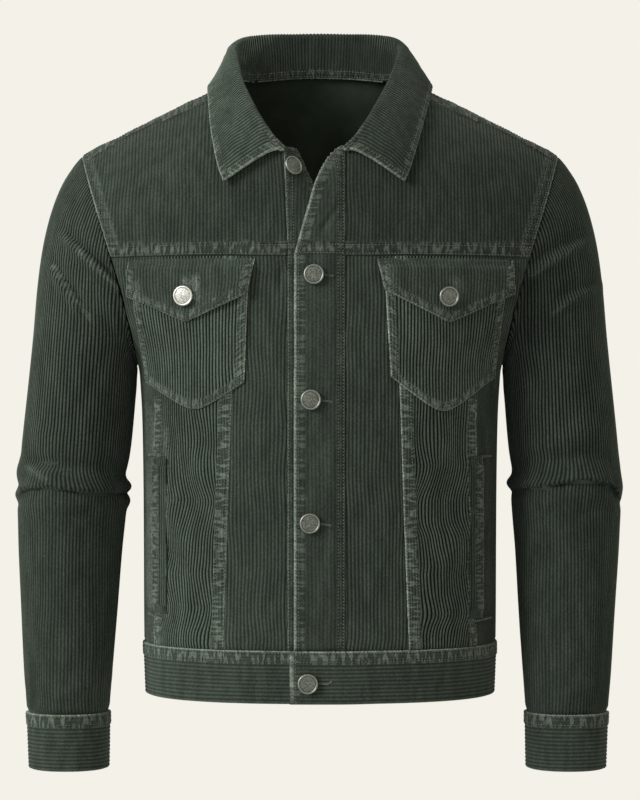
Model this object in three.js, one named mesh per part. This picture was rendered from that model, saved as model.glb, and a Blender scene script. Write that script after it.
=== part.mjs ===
// Corduroy jacket with a pointed collar, a buttoned placket, two chest pockets and buttoned cuffs.
// Millimetres, +Z up, the wearer faces -Y, the wearer's left is +X.
// The origin lies between the shoulders, level with the base of the neck.
// The jacket is filled out as if worn, and hollow: every piece is a wall of cloth.

import * as THREE from 'three';

// Thickness of the cloth, of doubled cloth, and the clearances between pieces.
const CLOTH = 1.6;
const DOUBLE_CLOTH = 2.6;
const COLLAR_CLOTH = 2.8;
const SEAM_GAP = 0.3;
const LAYER_GAP = 0.4;

// Heights of the seams and the widths of the front bands.
const YOKE_SEAM_Z = -162;
const BACK_YOKE_SEAM_Z = -150;
const WAIST_SEAM_Z = -539;
const HEM_Z = -590;
const ARMPIT_Z = -266;
const BAND_SEAM_X = -31;
const PLACKET_SEAM_X = 23.8;
const PLACKET_EDGE_X = -24.8;
const BAND_EDGE_X = 7.6;
const WAISTBAND_LEFT_END_X = -28.6;
const OVERLAP_RAMP = { from: 0.3, to: 0.07 };

// The section of the body at each height: a superellipse of half widths and depths.
const SECTION_POWER = 2.4;
const BODY_SECTIONS = [
  { z: -595, half: 171.4, front: 117, back: 119 },
  { z: -539, half: 173.4, front: 119, back: 121 },
  { z: -440, half: 174.0, front: 121, back: 124 },
  { z: -380, half: 174.4, front: 122, back: 126 },
  { z: -320, half: 175.5, front: 122, back: 127 },
  { z: -284, half: 177.4, front: 121, back: 127 },
  { z: -266, half: 179.5, front: 120, back: 127 },
  { z: -248, half: 187.0, front: 119, back: 126 },
  { z: -212, half: 217.0, front: 117, back: 124 },
  { z: -166, half: 248.0, front: 113, back: 121 },
  { z: -110, half: 274.0, front: 108, back: 114 },
  { z: -56, half: 299.0, front: 104, back: 107 },
  { z: 70, half: 340.0, front: 98, back: 98 },
];

// The ridge: the back neck seam out to the neck point, then the shoulder out to its tip.
const SHOULDER_Y = 10;
const BACK_NECK_DEPTH = 54;
const BACK_NECK_POWER = 1.3;
const SHOULDER_TIP_X = 237;
const SHOULDER_TIP_Z = -57;
const RIDGE_GAP = 0.001;
const RIDGE_CROWDING = 1.9;
const SHOULDER_REACH = 120;
const SHOULDER_POWER = 1.8;
const SHOULDER_RIDGE = [
  { x: 0, z: 34.0 },
  { x: 30, z: 32.4 },
  { x: 60, z: 27.6 },
  { x: 86, z: 20.7 },
  { x: 140, z: -6.0 },
  { x: 200, z: -36.5 },
  { x: 225, z: -49.5 },
  { x: 237, z: -57.0 },
];

// The armhole seam, from the shoulder tip down to the armpit.
const ARMHOLE = [
  { z: -266, x: 179.5 },
  { z: -257, x: 180.4 },
  { z: -246, x: 182.0 },
  { z: -212, x: 188.0 },
  { z: -162, x: 202.0 },
  { z: -113, x: 218.0 },
  { z: -80, x: 229.0 },
  { z: -57, x: 237.0 },
];

// The princess seams that part each front into a centre and a side panel.
const PRINCESS_SEAMS = [
  { z: -539, right: -92.2, left: 85.0 },
  { z: -420, right: -88.5, left: 80.2 },
  { z: -300, right: -84.0, left: 76.2 },
  { z: -162, right: -79.5, left: 71.5 },
];

// Half of the front neck seam, from the neck point to the front end.
const NECK_POINT_X = 86;
const NECK_SHIFT = -5.6;
const NECK_SEAM_FRONT = [
  { x: 86, z: 20.7 },
  { x: 82, z: 10.0 },
  { x: 77, z: -6.0 },
  { x: 68, z: -25.0 },
  { x: 57, z: -39.0 },
  { x: 44, z: -50.0 },
  { x: 30, z: -58.0 },
];
const NECK_END = NECK_SEAM_FRONT[NECK_SEAM_FRONT.length - 1];

// The front edges above the yoke seam, where the neck stands open, and how far each rolls back.
const OPEN_EDGES = [
  { z: -162, placket: -24.8, band: 7.6, placketRoll: 0, bandRoll: 0 },
  { z: -133, placket: -17.1, band: 2.9, placketRoll: 0, bandRoll: 0 },
  { z: -114, placket: -11.5, band: -1.0, placketRoll: 0, bandRoll: 3 },
  { z: -92, placket: -4.8, band: -6.7, placketRoll: 1, bandRoll: 12 },
  { z: -76, placket: 4.8, band: -14.3, placketRoll: 7, bandRoll: 19 },
  { z: -64, placket: 14.3, band: -19.5, placketRoll: 12, bandRoll: 22 },
  { z: -60, placket: 20.5, band: -22.5, placketRoll: 13, bandRoll: 23 },
];
const SEAM_LEAN_POWER = 1.3;
const PLACKET_ROLL_POWER = 2;
const BAND_ROLL_POWER = 1.3;

// Half of the collar, from the centre back to the front end: its seam, fold and outer edge.
const COLLAR_SIDE = 0.4;
const STAND_SHARE = 0.3;
const LEAF_SHARE = 0.48;
const LEAF_BULGE = 4;
const FRONT_ARCH = { height: 6, from: 0.8, power: 0.55 };
const COLLAR_STATIONS = [
  { seamX: 0, seamZ: 34, foldX: 0, foldY: 70, foldZ: 75.5, edgeX: 0, edgeY: 96, edgeZ: 4, round: 5 },
  { seamX: 26, seamZ: 34, foldX: 27, foldY: 69, foldZ: 75, edgeX: 28, edgeY: 92, edgeZ: 4, round: 5 },
  { seamX: 52, seamZ: 34, foldX: 54, foldY: 63, foldZ: 73.5, edgeX: 60, edgeY: 78, edgeZ: 5, round: 5 },
  { seamX: 74, seamZ: 28, foldX: 76, foldY: 48, foldZ: 68, edgeX: 92, edgeY: 52, edgeZ: 9, round: 5 },
  { seamX: 86, seamZ: 20.7, foldX: 84, foldY: 26, foldZ: 57, edgeX: 109, edgeY: 20, edgeZ: 13.5, round: 5 },
  { seamX: 82, seamZ: 10, foldX: 80, foldY: -6, foldZ: 42, edgeX: 111.5, edgeY: -17, edgeZ: 9, round: 4.6 },
  { seamX: 77, seamZ: -6, foldX: 73, foldY: -40, foldZ: 19, edgeX: 108, edgeY: -53, edgeZ: -10, round: 4.2 },
  { seamX: 68, seamZ: -25, foldX: 64, foldY: -68, foldZ: -4, edgeX: 103, edgeY: -81, edgeZ: -36, round: 3.8 },
  { seamX: 57, seamZ: -39, foldX: 53, foldY: -88, foldZ: -26, edgeX: 97, edgeY: -98.5, edgeZ: -61, round: 3.4 },
  { seamX: 44, seamZ: -50, foldX: 41, foldY: -99, foldZ: -44, edgeX: 92, edgeY: -106, edgeZ: -79, round: 3 },
  { seamX: 30, seamZ: -58, foldX: 28, foldY: -105, foldZ: -56, edgeX: 87, edgeY: -111, edgeZ: -91, round: 2.6 },
];

// Rings of the sleeve's inner face, from the armhole to the cuff: outer and inner point, middle, depth.
const SLEEVE_RINGS = [
  { outX: 237.0, outZ: -57, inX: 179.5, inZ: -266, midY: 5, depth: 76, loop: 1 },
  { outX: 246.0, outZ: -68, inX: 184.2, inZ: -267, midY: 5, depth: 75, loop: 0.85 },
  { outX: 257.0, outZ: -86, inX: 184.4, inZ: -271, midY: 4, depth: 73, loop: 0.6 },
  { outX: 267.0, outZ: -112, inX: 184.8, inZ: -275, midY: 4, depth: 71, loop: 0.35 },
  { outX: 275.0, outZ: -146, inX: 185.1, inZ: -280, midY: 3, depth: 69, loop: 0.15 },
  { outX: 280.5, outZ: -187, inX: 185.4, inZ: -288, midY: 2, depth: 67, loop: 0.04 },
  { outX: 284.5, outZ: -235, inX: 186.6, inZ: -302, midY: 1, depth: 65, loop: 0 },
  { outX: 289.0, outZ: -280, inX: 188.2, inZ: -322, midY: 0, depth: 63, loop: 0 },
  { outX: 293.5, outZ: -322, inX: 190.0, inZ: -341, midY: -1, depth: 61, loop: 0 },
  { outX: 296.5, outZ: -350, inX: 192.0, inZ: -356, midY: -2, depth: 60, loop: 0 },
  { outX: 298.5, outZ: -366, inX: 194.0, inZ: -367, midY: -3, depth: 59, loop: 0 },
  { outX: 299.5, outZ: -376, inX: 194.5, inZ: -376, midY: -4, depth: 58, loop: 0 },
  { outX: 299.5, outZ: -384, inX: 194.0, inZ: -383, midY: -5, depth: 57, loop: 0 },
  { outX: 299.5, outZ: -391, inX: 194.0, inZ: -390, midY: -6, depth: 56, loop: 0 },
  { outX: 299.5, outZ: -400, inX: 194.0, inZ: -400, midY: -7, depth: 55, loop: 0 },
  { outX: 298.8, outZ: -418, inX: 195.4, inZ: -418, midY: -10, depth: 53, loop: 0 },
  { outX: 297.5, outZ: -452, inX: 198.6, inZ: -452, midY: -14, depth: 49, loop: 0 },
  { outX: 294.5, outZ: -508, inX: 202.6, inZ: -508, midY: -19, depth: 43.5, loop: 0 },
  { outX: 291.5, outZ: -564, inX: 207.0, inZ: -564, midY: -23, depth: 40, loop: 0 },
  { outX: 289.0, outZ: -596, inX: 209.5, inZ: -596, midY: -24, depth: 37, loop: 0 },
  { outX: 288.0, outZ: -607, inX: 210.0, inZ: -607, midY: -24, depth: 36, loop: 0 },
];
const SLEEVE_POWER = 2.15;
const CUFF_TOP_Z = -607.4;
const CUFF_HEM_Z = -663;
const CUFF_TAPER = 2.2;
const CUFF_BUTTON_ASIDE = 12;
const ARM_AXIS = { topX: 205, lowX: 248, topZ: -60, length: 540 };
const UNDERARM_HEART = { x: 250, y: 7, z: -185 };

// The crease across each elbow, and the two long drape folds on the upper sleeve.
const ELBOW = { z: -382, dip: 11, trough: 4.2, above: 3.6, below: 2.4, width: 5, reach: 8 };
const SLEEVE_SIDES = {
  right: {
    sign: -1,
    swing: 0,
    elbowShift: -1,
    drapes: [
      { x: 262, z: -128, toX: 226, toZ: -222, depth: 3.2, width: 9 },
      { x: 274, z: -158, toX: 238, toZ: -250, depth: 2.2, width: 8 },
    ],
  },
  left: {
    sign: 1,
    swing: -5,
    elbowShift: 3,
    drapes: [
      { x: 268, z: -140, toX: 206, toZ: -168, depth: 2.6, width: 8 },
      { x: 276, z: -176, toX: 222, toZ: -204, depth: 2.0, width: 8 },
    ],
  },
};

// Chest flaps and pockets, each as corners on its front, right side then left side.
const FLAPS = {
  right: { inner: -62, innerLow: -68.8, outer: -184.5, outerLow: -184.5, cornerZ: -199, tipX: -128, tipZ: -224.5 },
  left: { inner: 54, innerLow: 61.3, outer: 185.5, outerLow: 185.5, cornerZ: -195.5, tipX: 123.6, tipZ: -225 },
};
const FLAP_TOP_Z = -163.6;
const POCKETS = {
  right: { inner: -67.8, innerLow: -71.6, outer: -183.5, outerLow: -167, lowZ: -283, tipX: -119.7, tipZ: -309 },
  left: { inner: 61.1, innerLow: 67, outer: 180, outerLow: 168, lowZ: -278, tipX: 117.8, tipZ: -310.5 },
};
const POCKET_TOP_Z = -176;
const WELTS = {
  right: { inner: -147, outer: -160.5, topZ: -356, lowZ: -507 },
  left: { inner: 143, outer: 156, topZ: -354, lowZ: -512 },
};

// Buttons: radius, and the places down the front, on the flaps and on the cuffs.
const BUTTON = { radius: 9.8, stem: 4.2, stemHeight: 1.2, head: 2.6, rim: 0.5 };
const PLACKET_BUTTONS = [
  { x: -5.8, z: -181 },
  { x: -8.6, z: -300 },
  { x: -9.5, z: -417 },
];
const NECK_BUTTON = { share: 0.29, z: -77 };
const WAIST_BUTTON = { x: -11.4, z: -569.5 };
const FLAP_BUTTONS = { right: { x: -128.4, z: -200 }, left: { x: 121, z: -201 } };

const GREEN = { color: 0x3c4139, roughness: 0.9, metalness: 0 };
const SILVER = { color: 0x8b8d88, roughness: 0.45, metalness: 0.9 };

const lerp = (a, b, t) => a + (b - a) * t;
const clamp = (t) => Math.min(1, Math.max(0, t));
const smooth = (a, b, t) => {
  const k = clamp((t - a) / (b - a));
  return k * k * (3 - 2 * k);
};
const bump = (t, width) => Math.exp(-(t / width) * (t / width));
const signedPower = (value, power) => Math.sign(value) * Math.abs(value) ** power;

// Reads one column of a table at a place along another, through a smooth curve.
function read(table, key, column, place) {
  const last = table.length - 1;
  const rising = table[last][key] > table[0][key];
  let i = 0;
  while (i < last - 1 && (rising ? place > table[i + 1][key] : place < table[i + 1][key])) i += 1;
  const span = table[i + 1][key] - table[i][key];
  const t = clamp((place - table[i][key]) / span);
  const slope = (k) => {
    const before = table[Math.max(0, k - 1)];
    const after = table[Math.min(last, k + 1)];
    return (after[column] - before[column]) / (after[key] - before[key]);
  };
  const from = table[i][column];
  const to = table[i + 1][column];
  const m0 = slope(i) * span;
  const m1 = slope(i + 1) * span;
  const t2 = t * t;
  const t3 = t2 * t;
  return (2 * t3 - 3 * t2 + 1) * from + (t3 - 2 * t2 + t) * m0 + (3 * t2 - 2 * t3) * to + (t3 - t2) * m1;
}

// Reads a column of a table whose rows are evenly spread over 0 to 1.
function along(table, column, share) {
  const rows = table.map((row, i) => ({ place: i / (table.length - 1), value: row[column] }));
  return read(rows, 'place', 'value', share);
}

const half = (z) => read(BODY_SECTIONS, 'z', 'half', z);
const ridge = (x) => read(SHOULDER_RIDGE, 'x', 'z', Math.abs(x));
const armholeX = (z) => (z < ARMPIT_Z ? half(z) : read(ARMHOLE, 'z', 'x', z));

// The body's inner face at a place across and a height, in front or behind.
function bodyY(x, z, behind) {
  const ratio = Math.min(1, Math.abs(x) / half(z));
  const depth = read(BODY_SECTIONS, 'z', behind ? 'back' : 'front', z);
  const full = depth * (1 - ratio ** SECTION_POWER) ** (1 / SECTION_POWER);
  const drop = clamp((ridge(x) - z) / SHOULDER_REACH);
  const neck = Math.max(0, 1 - (Math.abs(x) / NECK_POINT_X) ** 2.2);
  const power = behind ? lerp(SHOULDER_POWER, BACK_NECK_POWER, neck) : SHOULDER_POWER;
  const share = (1 - (1 - drop) ** power) ** (1 / power);
  return behind ? lerp(SHOULDER_Y + BACK_NECK_DEPTH * neck, full, share) : lerp(SHOULDER_Y, -full, share);
}

// A place across at a share of the way between two seams, even round the section's curve.
// Each end stands back from its seam by half a gap, at the side seam by the angle that gives one.
const SIDE_SEAM_ANGLE = 0.0004;

function across(from, to, share, z) {
  const width = half(z);
  const angle = (x, inward) => {
    const atSide = Math.abs(x) > width - 0.5;
    const ratio = atSide ? Math.sign(x) : (x + inward * SEAM_GAP / 2) / width;
    return Math.asin(signedPower(ratio, SECTION_POWER / 2)) + (atSide ? inward * SIDE_SEAM_ANGLE : 0);
  };
  return width * signedPower(Math.sin(lerp(angle(from, 1), angle(to, -1), share)), 2 / SECTION_POWER);
}

// A closed wall of cloth over a surface given by two shares from 0 to 1.
// The surface is the wall's inner face, and lift moves the whole wall out from it.
function wall({ surface, columns, rows, thickness, lift = () => 0, around = false, outward }) {
  const columnCount = around ? columns : columns + 1;
  const inner = [];
  const outer = [];
  const step = 1e-3;
  for (let j = 0; j <= rows; j += 1) {
    for (let i = 0; i < columnCount; i += 1) {
      const u = i / columns;
      const v = j / rows;
      const u0 = around ? u - step : Math.max(0, u - step);
      const u1 = around ? u + step : Math.min(1, u + step);
      const alongU = surface(u1, v).sub(surface(u0, v));
      const alongV = surface(u, Math.min(1, v + step)).sub(surface(u, Math.max(0, v - step)));
      const normal = alongU.cross(alongV).normalize();
      if (normal.dot(outward(surface(u, v))) < 0) normal.negate();
      const rise = lift(u, v);
      inner.push(surface(u, v).addScaledVector(normal, rise));
      outer.push(surface(u, v).addScaledVector(normal, rise + thickness));
    }
  }
  return closeWall(inner, outer, columnCount, rows + 1, around);
}

// Joins an inner and an outer grid of points into one closed body.
function closeWall(inner, outer, columnCount, rowCount, around) {
  const points = [...inner, ...outer];
  const offset = inner.length;
  const faces = [];
  const quad = (a, b, c, d) => faces.push(a, b, c, a, c, d);
  const lastColumn = around ? columnCount : columnCount - 1;
  for (let j = 0; j < rowCount - 1; j += 1) {
    for (let i = 0; i < lastColumn; i += 1) {
      const a = j * columnCount + i;
      const b = j * columnCount + ((i + 1) % columnCount);
      const c = b + columnCount;
      const d = a + columnCount;
      quad(offset + a, offset + b, offset + c, offset + d);
      quad(d, c, b, a);
    }
  }
  const rim = (a, b) => quad(b, offset + b, offset + a, a);
  for (let i = 0; i < lastColumn; i += 1) {
    const next = (i + 1) % columnCount;
    const top = (rowCount - 1) * columnCount;
    rim(i, next);
    rim(top + next, top + i);
  }
  for (let j = 0; j < rowCount - 1 && !around; j += 1) {
    const a = j * columnCount;
    const b = a + columnCount - 1;
    rim(a + columnCount, a);
    rim(b, b + columnCount);
  }
  const geometry = new THREE.BufferGeometry().setFromPoints(points);
  geometry.setIndex(faces);
  if (signedVolume(geometry) < 0) {
    for (let k = 0; k < faces.length; k += 3) [faces[k], faces[k + 1]] = [faces[k + 1], faces[k]];
    geometry.setIndex(faces);
  }
  geometry.computeVertexNormals();
  return geometry;
}

function signedVolume(geometry) {
  const place = geometry.getAttribute('position');
  const index = geometry.getIndex();
  const corner = (k) => new THREE.Vector3().fromBufferAttribute(place, index.getX(k));
  let volume = 0;
  for (let k = 0; k < index.count; k += 3) volume += corner(k).dot(corner(k + 1).cross(corner(k + 2))) / 6;
  return volume;
}

const jacket = new THREE.Group();

function add(name, geometry, look = GREEN) {
  const mesh = new THREE.Mesh(geometry, new THREE.MeshStandardMaterial(look));
  mesh.name = name;
  jacket.add(mesh);
  return mesh;
}

const forwards = () => new THREE.Vector3(0, -1, 0);
const fromAxis = (point) => new THREE.Vector3(point.x, point.y * 1.5, 0);
const bodyPoint = (x, z, behind = false) => new THREE.Vector3(x, bodyY(x, z, behind), z);

// A panel between two seams that run down the body, from a high to a low level.
function bodyPanel({ from, to, top, low, columns, rows, behind = false }) {
  const gap = SEAM_GAP / 2;
  const surface = (u, v) => {
    const z = lerp(low + gap, top - gap, v);
    return bodyPoint(across(from(z), to(z), u, z), z, behind);
  };
  return wall({ surface, columns, rows, thickness: CLOTH, outward: fromAxis });
}

const princess = (side) => (z) => read(PRINCESS_SEAMS, 'z', side, z);

function centreFronts() {
  const span = { top: YOKE_SEAM_Z, low: WAIST_SEAM_Z, columns: 4, rows: 12 };
  add('front_right', bodyPanel({ ...span, from: princess('right'), to: () => BAND_SEAM_X }));
  add('front_left', bodyPanel({ ...span, from: () => PLACKET_SEAM_X, to: princess('left') }));
}

function sideFronts() {
  const span = { top: YOKE_SEAM_Z, low: WAIST_SEAM_Z, columns: 7, rows: 18 };
  add('side_front_right', bodyPanel({ ...span, from: (z) => -armholeX(z), to: princess('right') }));
  add('side_front_left', bodyPanel({ ...span, from: princess('left'), to: armholeX }));
}

function backPanel() {
  const span = { top: BACK_YOKE_SEAM_Z, low: WAIST_SEAM_Z, columns: 16, rows: 16, behind: true };
  add('back_panel', bodyPanel({ ...span, from: (z) => -armholeX(z), to: armholeX }));
}

// How far the neck seam's front is moved across, because the fronts overlap off the middle.
const neckShift = (z) => NECK_SHIFT * smooth(20, -58, z);

// The seam between a front band and its yoke or front: straight, then leaning out to the neck seam's end.
function frontSeam(side, z) {
  const seamX = side < 0 ? BAND_SEAM_X : PLACKET_SEAM_X;
  const endX = side * NECK_END.x + neckShift(NECK_END.z);
  const rise = clamp((z - YOKE_SEAM_Z) / (NECK_END.z - YOKE_SEAM_Z));
  return lerp(seamX, endX, rise ** SEAM_LEAN_POWER);
}

// Half of a front yoke's inner edge: up the band or placket seam, then round the neck.
function yokeInner(side, share) {
  const bend = 0.4;
  if (share < bend) {
    const z = lerp(YOKE_SEAM_Z, NECK_END.z, share / bend);
    return { x: frontSeam(side, z), z };
  }
  const t = 1 - (share - bend) / (1 - bend);
  const z = along(NECK_SEAM_FRONT, 'z', t);
  return { x: side * along(NECK_SEAM_FRONT, 'x', t) + neckShift(z), z };
}

function frontYoke(side) {
  const gap = SEAM_GAP / 2;
  const surface = (u, v) => {
    const share = 1 - (1 - v) ** RIDGE_CROWDING;
    const inner = yokeInner(side, share);
    const outerZ = lerp(YOKE_SEAM_Z, SHOULDER_TIP_Z, share);
    const outerX = side * armholeX(outerZ);
    const x = lerp(inner.x + side * gap * 2, outerX - side * gap, u);
    const straight = Math.max(lerp(inner.z, outerZ, u), YOKE_SEAM_Z + gap);
    const t = clamp((Math.abs(x) - NECK_POINT_X) / (SHOULDER_TIP_X - NECK_POINT_X));
    const arch = ridge(x) - lerp(ridge(NECK_POINT_X), SHOULDER_TIP_Z, t);
    const z = t > 0 ? straight + arch * share ** 4 : straight;
    return bodyPoint(x, Math.min(z, ridge(x) - RIDGE_GAP));
  };
  const outward = (point) => new THREE.Vector3(point.x * 0.2, -60, 60 + point.z * 0.3);
  return wall({ surface, columns: 9, rows: 9, thickness: CLOTH, outward });
}

function backYoke() {
  const gap = SEAM_GAP / 2;
  const surface = (u, v) => {
    const share = 1 - (1 - v) ** RIDGE_CROWDING;
    const sideZ = lerp(BACK_YOKE_SEAM_Z, SHOULDER_TIP_Z, share);
    const x = (2 * u - 1) * (armholeX(sideZ) - gap);
    const z = lerp(BACK_YOKE_SEAM_Z + gap, ridge(x) - RIDGE_GAP, share);
    return bodyPoint(x, z, true);
  };
  const outward = (point) => new THREE.Vector3(point.x * 0.2, 60, 60 + point.z * 0.3);
  add('back_yoke', wall({ surface, columns: 22, rows: 8, thickness: CLOTH, outward }));
}

// The front bands: the buttonhole placket on the left front lies over the button band on the right.
const openEdge = (column, z) => read(OPEN_EDGES, 'z', column, z);
const OPEN_TOP_Z = -60;
const NECK_CROWDING = 1.3;
const placketEdge = (z) => (z < YOKE_SEAM_Z ? PLACKET_EDGE_X : openEdge('placket', z));
const bandEdge = (z) => (z < YOKE_SEAM_Z ? BAND_EDGE_X : openEdge('band', z));
const edgeRoll = (column, z) => (z < YOKE_SEAM_Z ? 0 : openEdge(column, z));

function bandSurface({ side, edge, roll, rollPower }) {
  return (u, v) => {
    const z = lerp(WAIST_SEAM_Z + SEAM_GAP / 2, OPEN_TOP_Z, 1 - (1 - v) ** NECK_CROWDING);
    const seam = frontSeam(side, z) - side * SEAM_GAP / 2;
    const point = bodyPoint(lerp(seam, edge(z), u), z);
    point.y += edgeRoll(roll, z) * u ** rollPower;
    return point;
  };
}

const placketSurface = bandSurface({
  side: 1, edge: placketEdge, roll: 'placketRoll', rollPower: PLACKET_ROLL_POWER,
});
const buttonBandSurface = bandSurface({
  side: -1, edge: bandEdge, roll: 'bandRoll', rollPower: BAND_ROLL_POWER,
});
const placketLift = (u) => (DOUBLE_CLOTH + LAYER_GAP) * smooth(0.02, 0.3, u);

function frontBands() {
  const shape = { columns: 5, rows: 18, thickness: DOUBLE_CLOTH, outward: forwards };
  add('placket_left', wall({ ...shape, surface: placketSurface, lift: placketLift }));
  add('button_band_right', wall({ ...shape, surface: buttonBandSurface }));
}

// The waistband runs from its right end, under the left one, round the back to its left end.
function waistband() {
  const end = (x) => (Math.abs(x) / half(HEM_Z)) ** (SECTION_POWER / 2);
  const startAngle = end(BAND_EDGE_X);
  const endAngle = -2 * Math.PI - end(WAISTBAND_LEFT_END_X);
  const surface = (u, v) => {
    const angle = lerp(startAngle, endAngle, u);
    const z = lerp(HEM_Z, WAIST_SEAM_Z - SEAM_GAP / 2, v);
    const depth = read(BODY_SECTIONS, 'z', Math.cos(angle) > 0 ? 'front' : 'back', z);
    const x = half(z) * signedPower(Math.sin(angle), 2 / SECTION_POWER);
    return new THREE.Vector3(x, -depth * signedPower(Math.cos(angle), 2 / SECTION_POWER), z);
  };
  const fullTurn = -2 * Math.PI;
  const lift = (u) => {
    const angle = lerp(startAngle, endAngle, u);
    return (DOUBLE_CLOTH + LAYER_GAP) * smooth(fullTurn + OVERLAP_RAMP.from, fullTurn + OVERLAP_RAMP.to, angle);
  };
  add('waistband', wall({ surface, columns: 60, rows: 2, thickness: DOUBLE_CLOTH, lift, outward: fromAxis }));
}

// Pieces laid on the fronts, from four corners and a point at the bottom.
function laidOn(cut) {
  const { inner, innerLow, outer, outerLow, cornerZ, tipX, tipZ, topZ, lift, thickness, columns, rows } = cut;
  const tipShare = (tipX - innerLow) / (outerLow - innerLow);
  const surface = (u, v) => {
    const fall = 1 - Math.abs(u < tipShare ? 1 - u / tipShare : (u - tipShare) / (1 - tipShare));
    const lowZ = lerp(cornerZ, tipZ, fall);
    const z = lerp(topZ, lowZ, v);
    const side = clamp((z - topZ) / (cornerZ - topZ));
    return bodyPoint(lerp(lerp(inner, innerLow, side), lerp(outer, outerLow, side), u), z);
  };
  return wall({ surface, columns, rows, thickness, lift: () => lift, outward: forwards });
}

const POCKET_LIFT = CLOTH + 2.5 * LAYER_GAP;
const FLAP_LIFT = POCKET_LIFT + CLOTH + LAYER_GAP;

function chestPockets(name) {
  const pocket = { ...POCKETS[name], cornerZ: POCKETS[name].lowZ, topZ: POCKET_TOP_Z };
  add(`pocket_${name}`, laidOn({ ...pocket, lift: POCKET_LIFT, thickness: CLOTH, columns: 10, rows: 8 }));
  const flap = { ...FLAPS[name], topZ: FLAP_TOP_Z };
  add(`flap_${name}`, laidOn({ ...flap, lift: FLAP_LIFT, thickness: DOUBLE_CLOTH, columns: 10, rows: 4 }));
}

function sideWelt(name) {
  const { inner, outer, topZ, lowZ } = WELTS[name];
  const surface = (u, v) => {
    const z = lerp(lowZ, topZ, v);
    return bodyPoint(lerp(inner, outer, u), z);
  };
  const shape = { columns: 2, rows: 8, thickness: CLOTH, lift: () => POCKET_LIFT, outward: forwards };
  add(`welt_${name}`, wall({ ...shape, surface }));
}

// The foot of the collar's stand, just inside the neck seam.
function collarSeam(place) {
  const seamX = along(COLLAR_STATIONS, 'seamX', place);
  const seamZ = along(COLLAR_STATIONS, 'seamZ', place);
  const behind = place < COLLAR_SIDE;
  const inside = COLLAR_CLOTH / 2 + SEAM_GAP * 2.8;
  const seam = bodyPoint(seamX, Math.min(seamZ, ridge(seamX) - RIDGE_GAP), behind);
  if (behind) {
    const inwards = new THREE.Vector3(-seam.x, -seam.y * 1.4, 0).normalize();
    return seam.addScaledVector(inwards, inside).add(new THREE.Vector3(0, 0, inside * 0.3));
  }
  const tilt = (place - COLLAR_SIDE) / (1 - COLLAR_SIDE);
  const x = seamX - inside * Math.cos(tilt);
  return bodyPoint(x, Math.min(seamZ + inside * Math.sin(tilt), ridge(x) - RIDGE_GAP));
}

// The collar's middle surface: up the stand, over a rounded fold and down the leaf.
function collarPoint(u, v) {
  const place = Math.abs(2 * u - 1);
  const side = u < 0.5 ? -1 : 1;
  const get = (column) => along(COLLAR_STATIONS, column, place);
  const shift = neckShift(get('seamZ'));
  const seam = collarSeam(place);
  const fold = new THREE.Vector3(get('foldX'), get('foldY'), get('foldZ'));
  const edge = new THREE.Vector3(get('edgeX'), get('edgeY'), get('edgeZ'));
  const radius = get('round');
  const up = fold.clone().sub(seam).normalize().add(fold.clone().sub(edge).normalize()).normalize();
  const out = edge.clone().sub(seam);
  out.addScaledVector(up, -out.dot(up)).normalize();
  const centre = fold.clone().addScaledVector(up, -radius);
  const point = new THREE.Vector3();
  if (v < STAND_SHARE) {
    point.lerpVectors(seam, centre.clone().addScaledVector(out, -radius), v / STAND_SHARE);
  } else if (v > LEAF_SHARE) {
    const t = (v - LEAF_SHARE) / (1 - LEAF_SHARE);
    point.lerpVectors(centre.clone().addScaledVector(out, radius), edge, t);
    point.addScaledVector(out, LEAF_BULGE * Math.sin(Math.PI * t) * (1 - 0.4 * place));
    point.z += FRONT_ARCH.height * Math.sin(Math.PI * t ** FRONT_ARCH.power) * smooth(FRONT_ARCH.from, 1, place);
  } else {
    const angle = Math.PI * (v - STAND_SHARE) / (LEAF_SHARE - STAND_SHARE);
    point.copy(centre);
    point.addScaledVector(out, -radius * Math.cos(angle));
    point.addScaledVector(up, radius * Math.sin(angle));
  }
  point.x = side * point.x + shift;
  return point;
}

function collar() {
  const lift = () => -COLLAR_CLOTH / 2;
  const outward = () => new THREE.Vector3();
  const shape = { columns: 36, rows: 12, thickness: COLLAR_CLOTH, lift, outward };
  add('collar', wall({ ...shape, surface: collarPoint }));
}

// The armhole loop, from the shoulder tip down the front, under the arm and up the back.
function armholeLoop(share) {
  const behind = share > 0.5;
  const t = behind ? 2 - 2 * share : 2 * share;
  const z = lerp(SHOULDER_TIP_Z, ARMPIT_Z, (1 - Math.cos(Math.PI * t)) / 2);
  const x = armholeX(z);
  return new THREE.Vector3(x, bodyY(x, Math.min(z, ridge(x) - RIDGE_GAP), behind), z);
}

// A sleeve ring's point: a flattened ring, joined to the armhole's own loop near the shoulder.
function ringPoint(ring, share) {
  const angle = 2 * Math.PI * share;
  const across = (1 + signedPower(Math.cos(angle), 2 / SLEEVE_POWER)) / 2;
  const x = lerp(ring.inX, ring.outX, across);
  const z = lerp(ring.inZ, ring.outZ, across);
  return new THREE.Vector3(x, ring.midY - ring.depth * signedPower(Math.sin(angle), 2 / SLEEVE_POWER), z);
}

function sleeveRing(place) {
  const ring = {};
  for (const column of Object.keys(SLEEVE_RINGS[0])) ring[column] = along(SLEEVE_RINGS, column, place);
  return ring;
}

// The depth of the long drape folds at a point: each a soft trough along a line.
function drapeDepth(setting, point) {
  let depth = 0;
  for (const fold of setting.drapes) {
    const run = new THREE.Vector2(fold.toX - fold.x, fold.toZ - fold.z);
    const here = new THREE.Vector2(point.x - fold.x, point.z - fold.z);
    const share = here.dot(run) / run.lengthSq();
    const aside = here.addScaledVector(run, -share).length();
    depth += fold.depth * bump(aside, fold.width) * smooth(-0.1, 0.25, share) * (1 - smooth(0.7, 1.1, share));
  }
  return depth;
}

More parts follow.
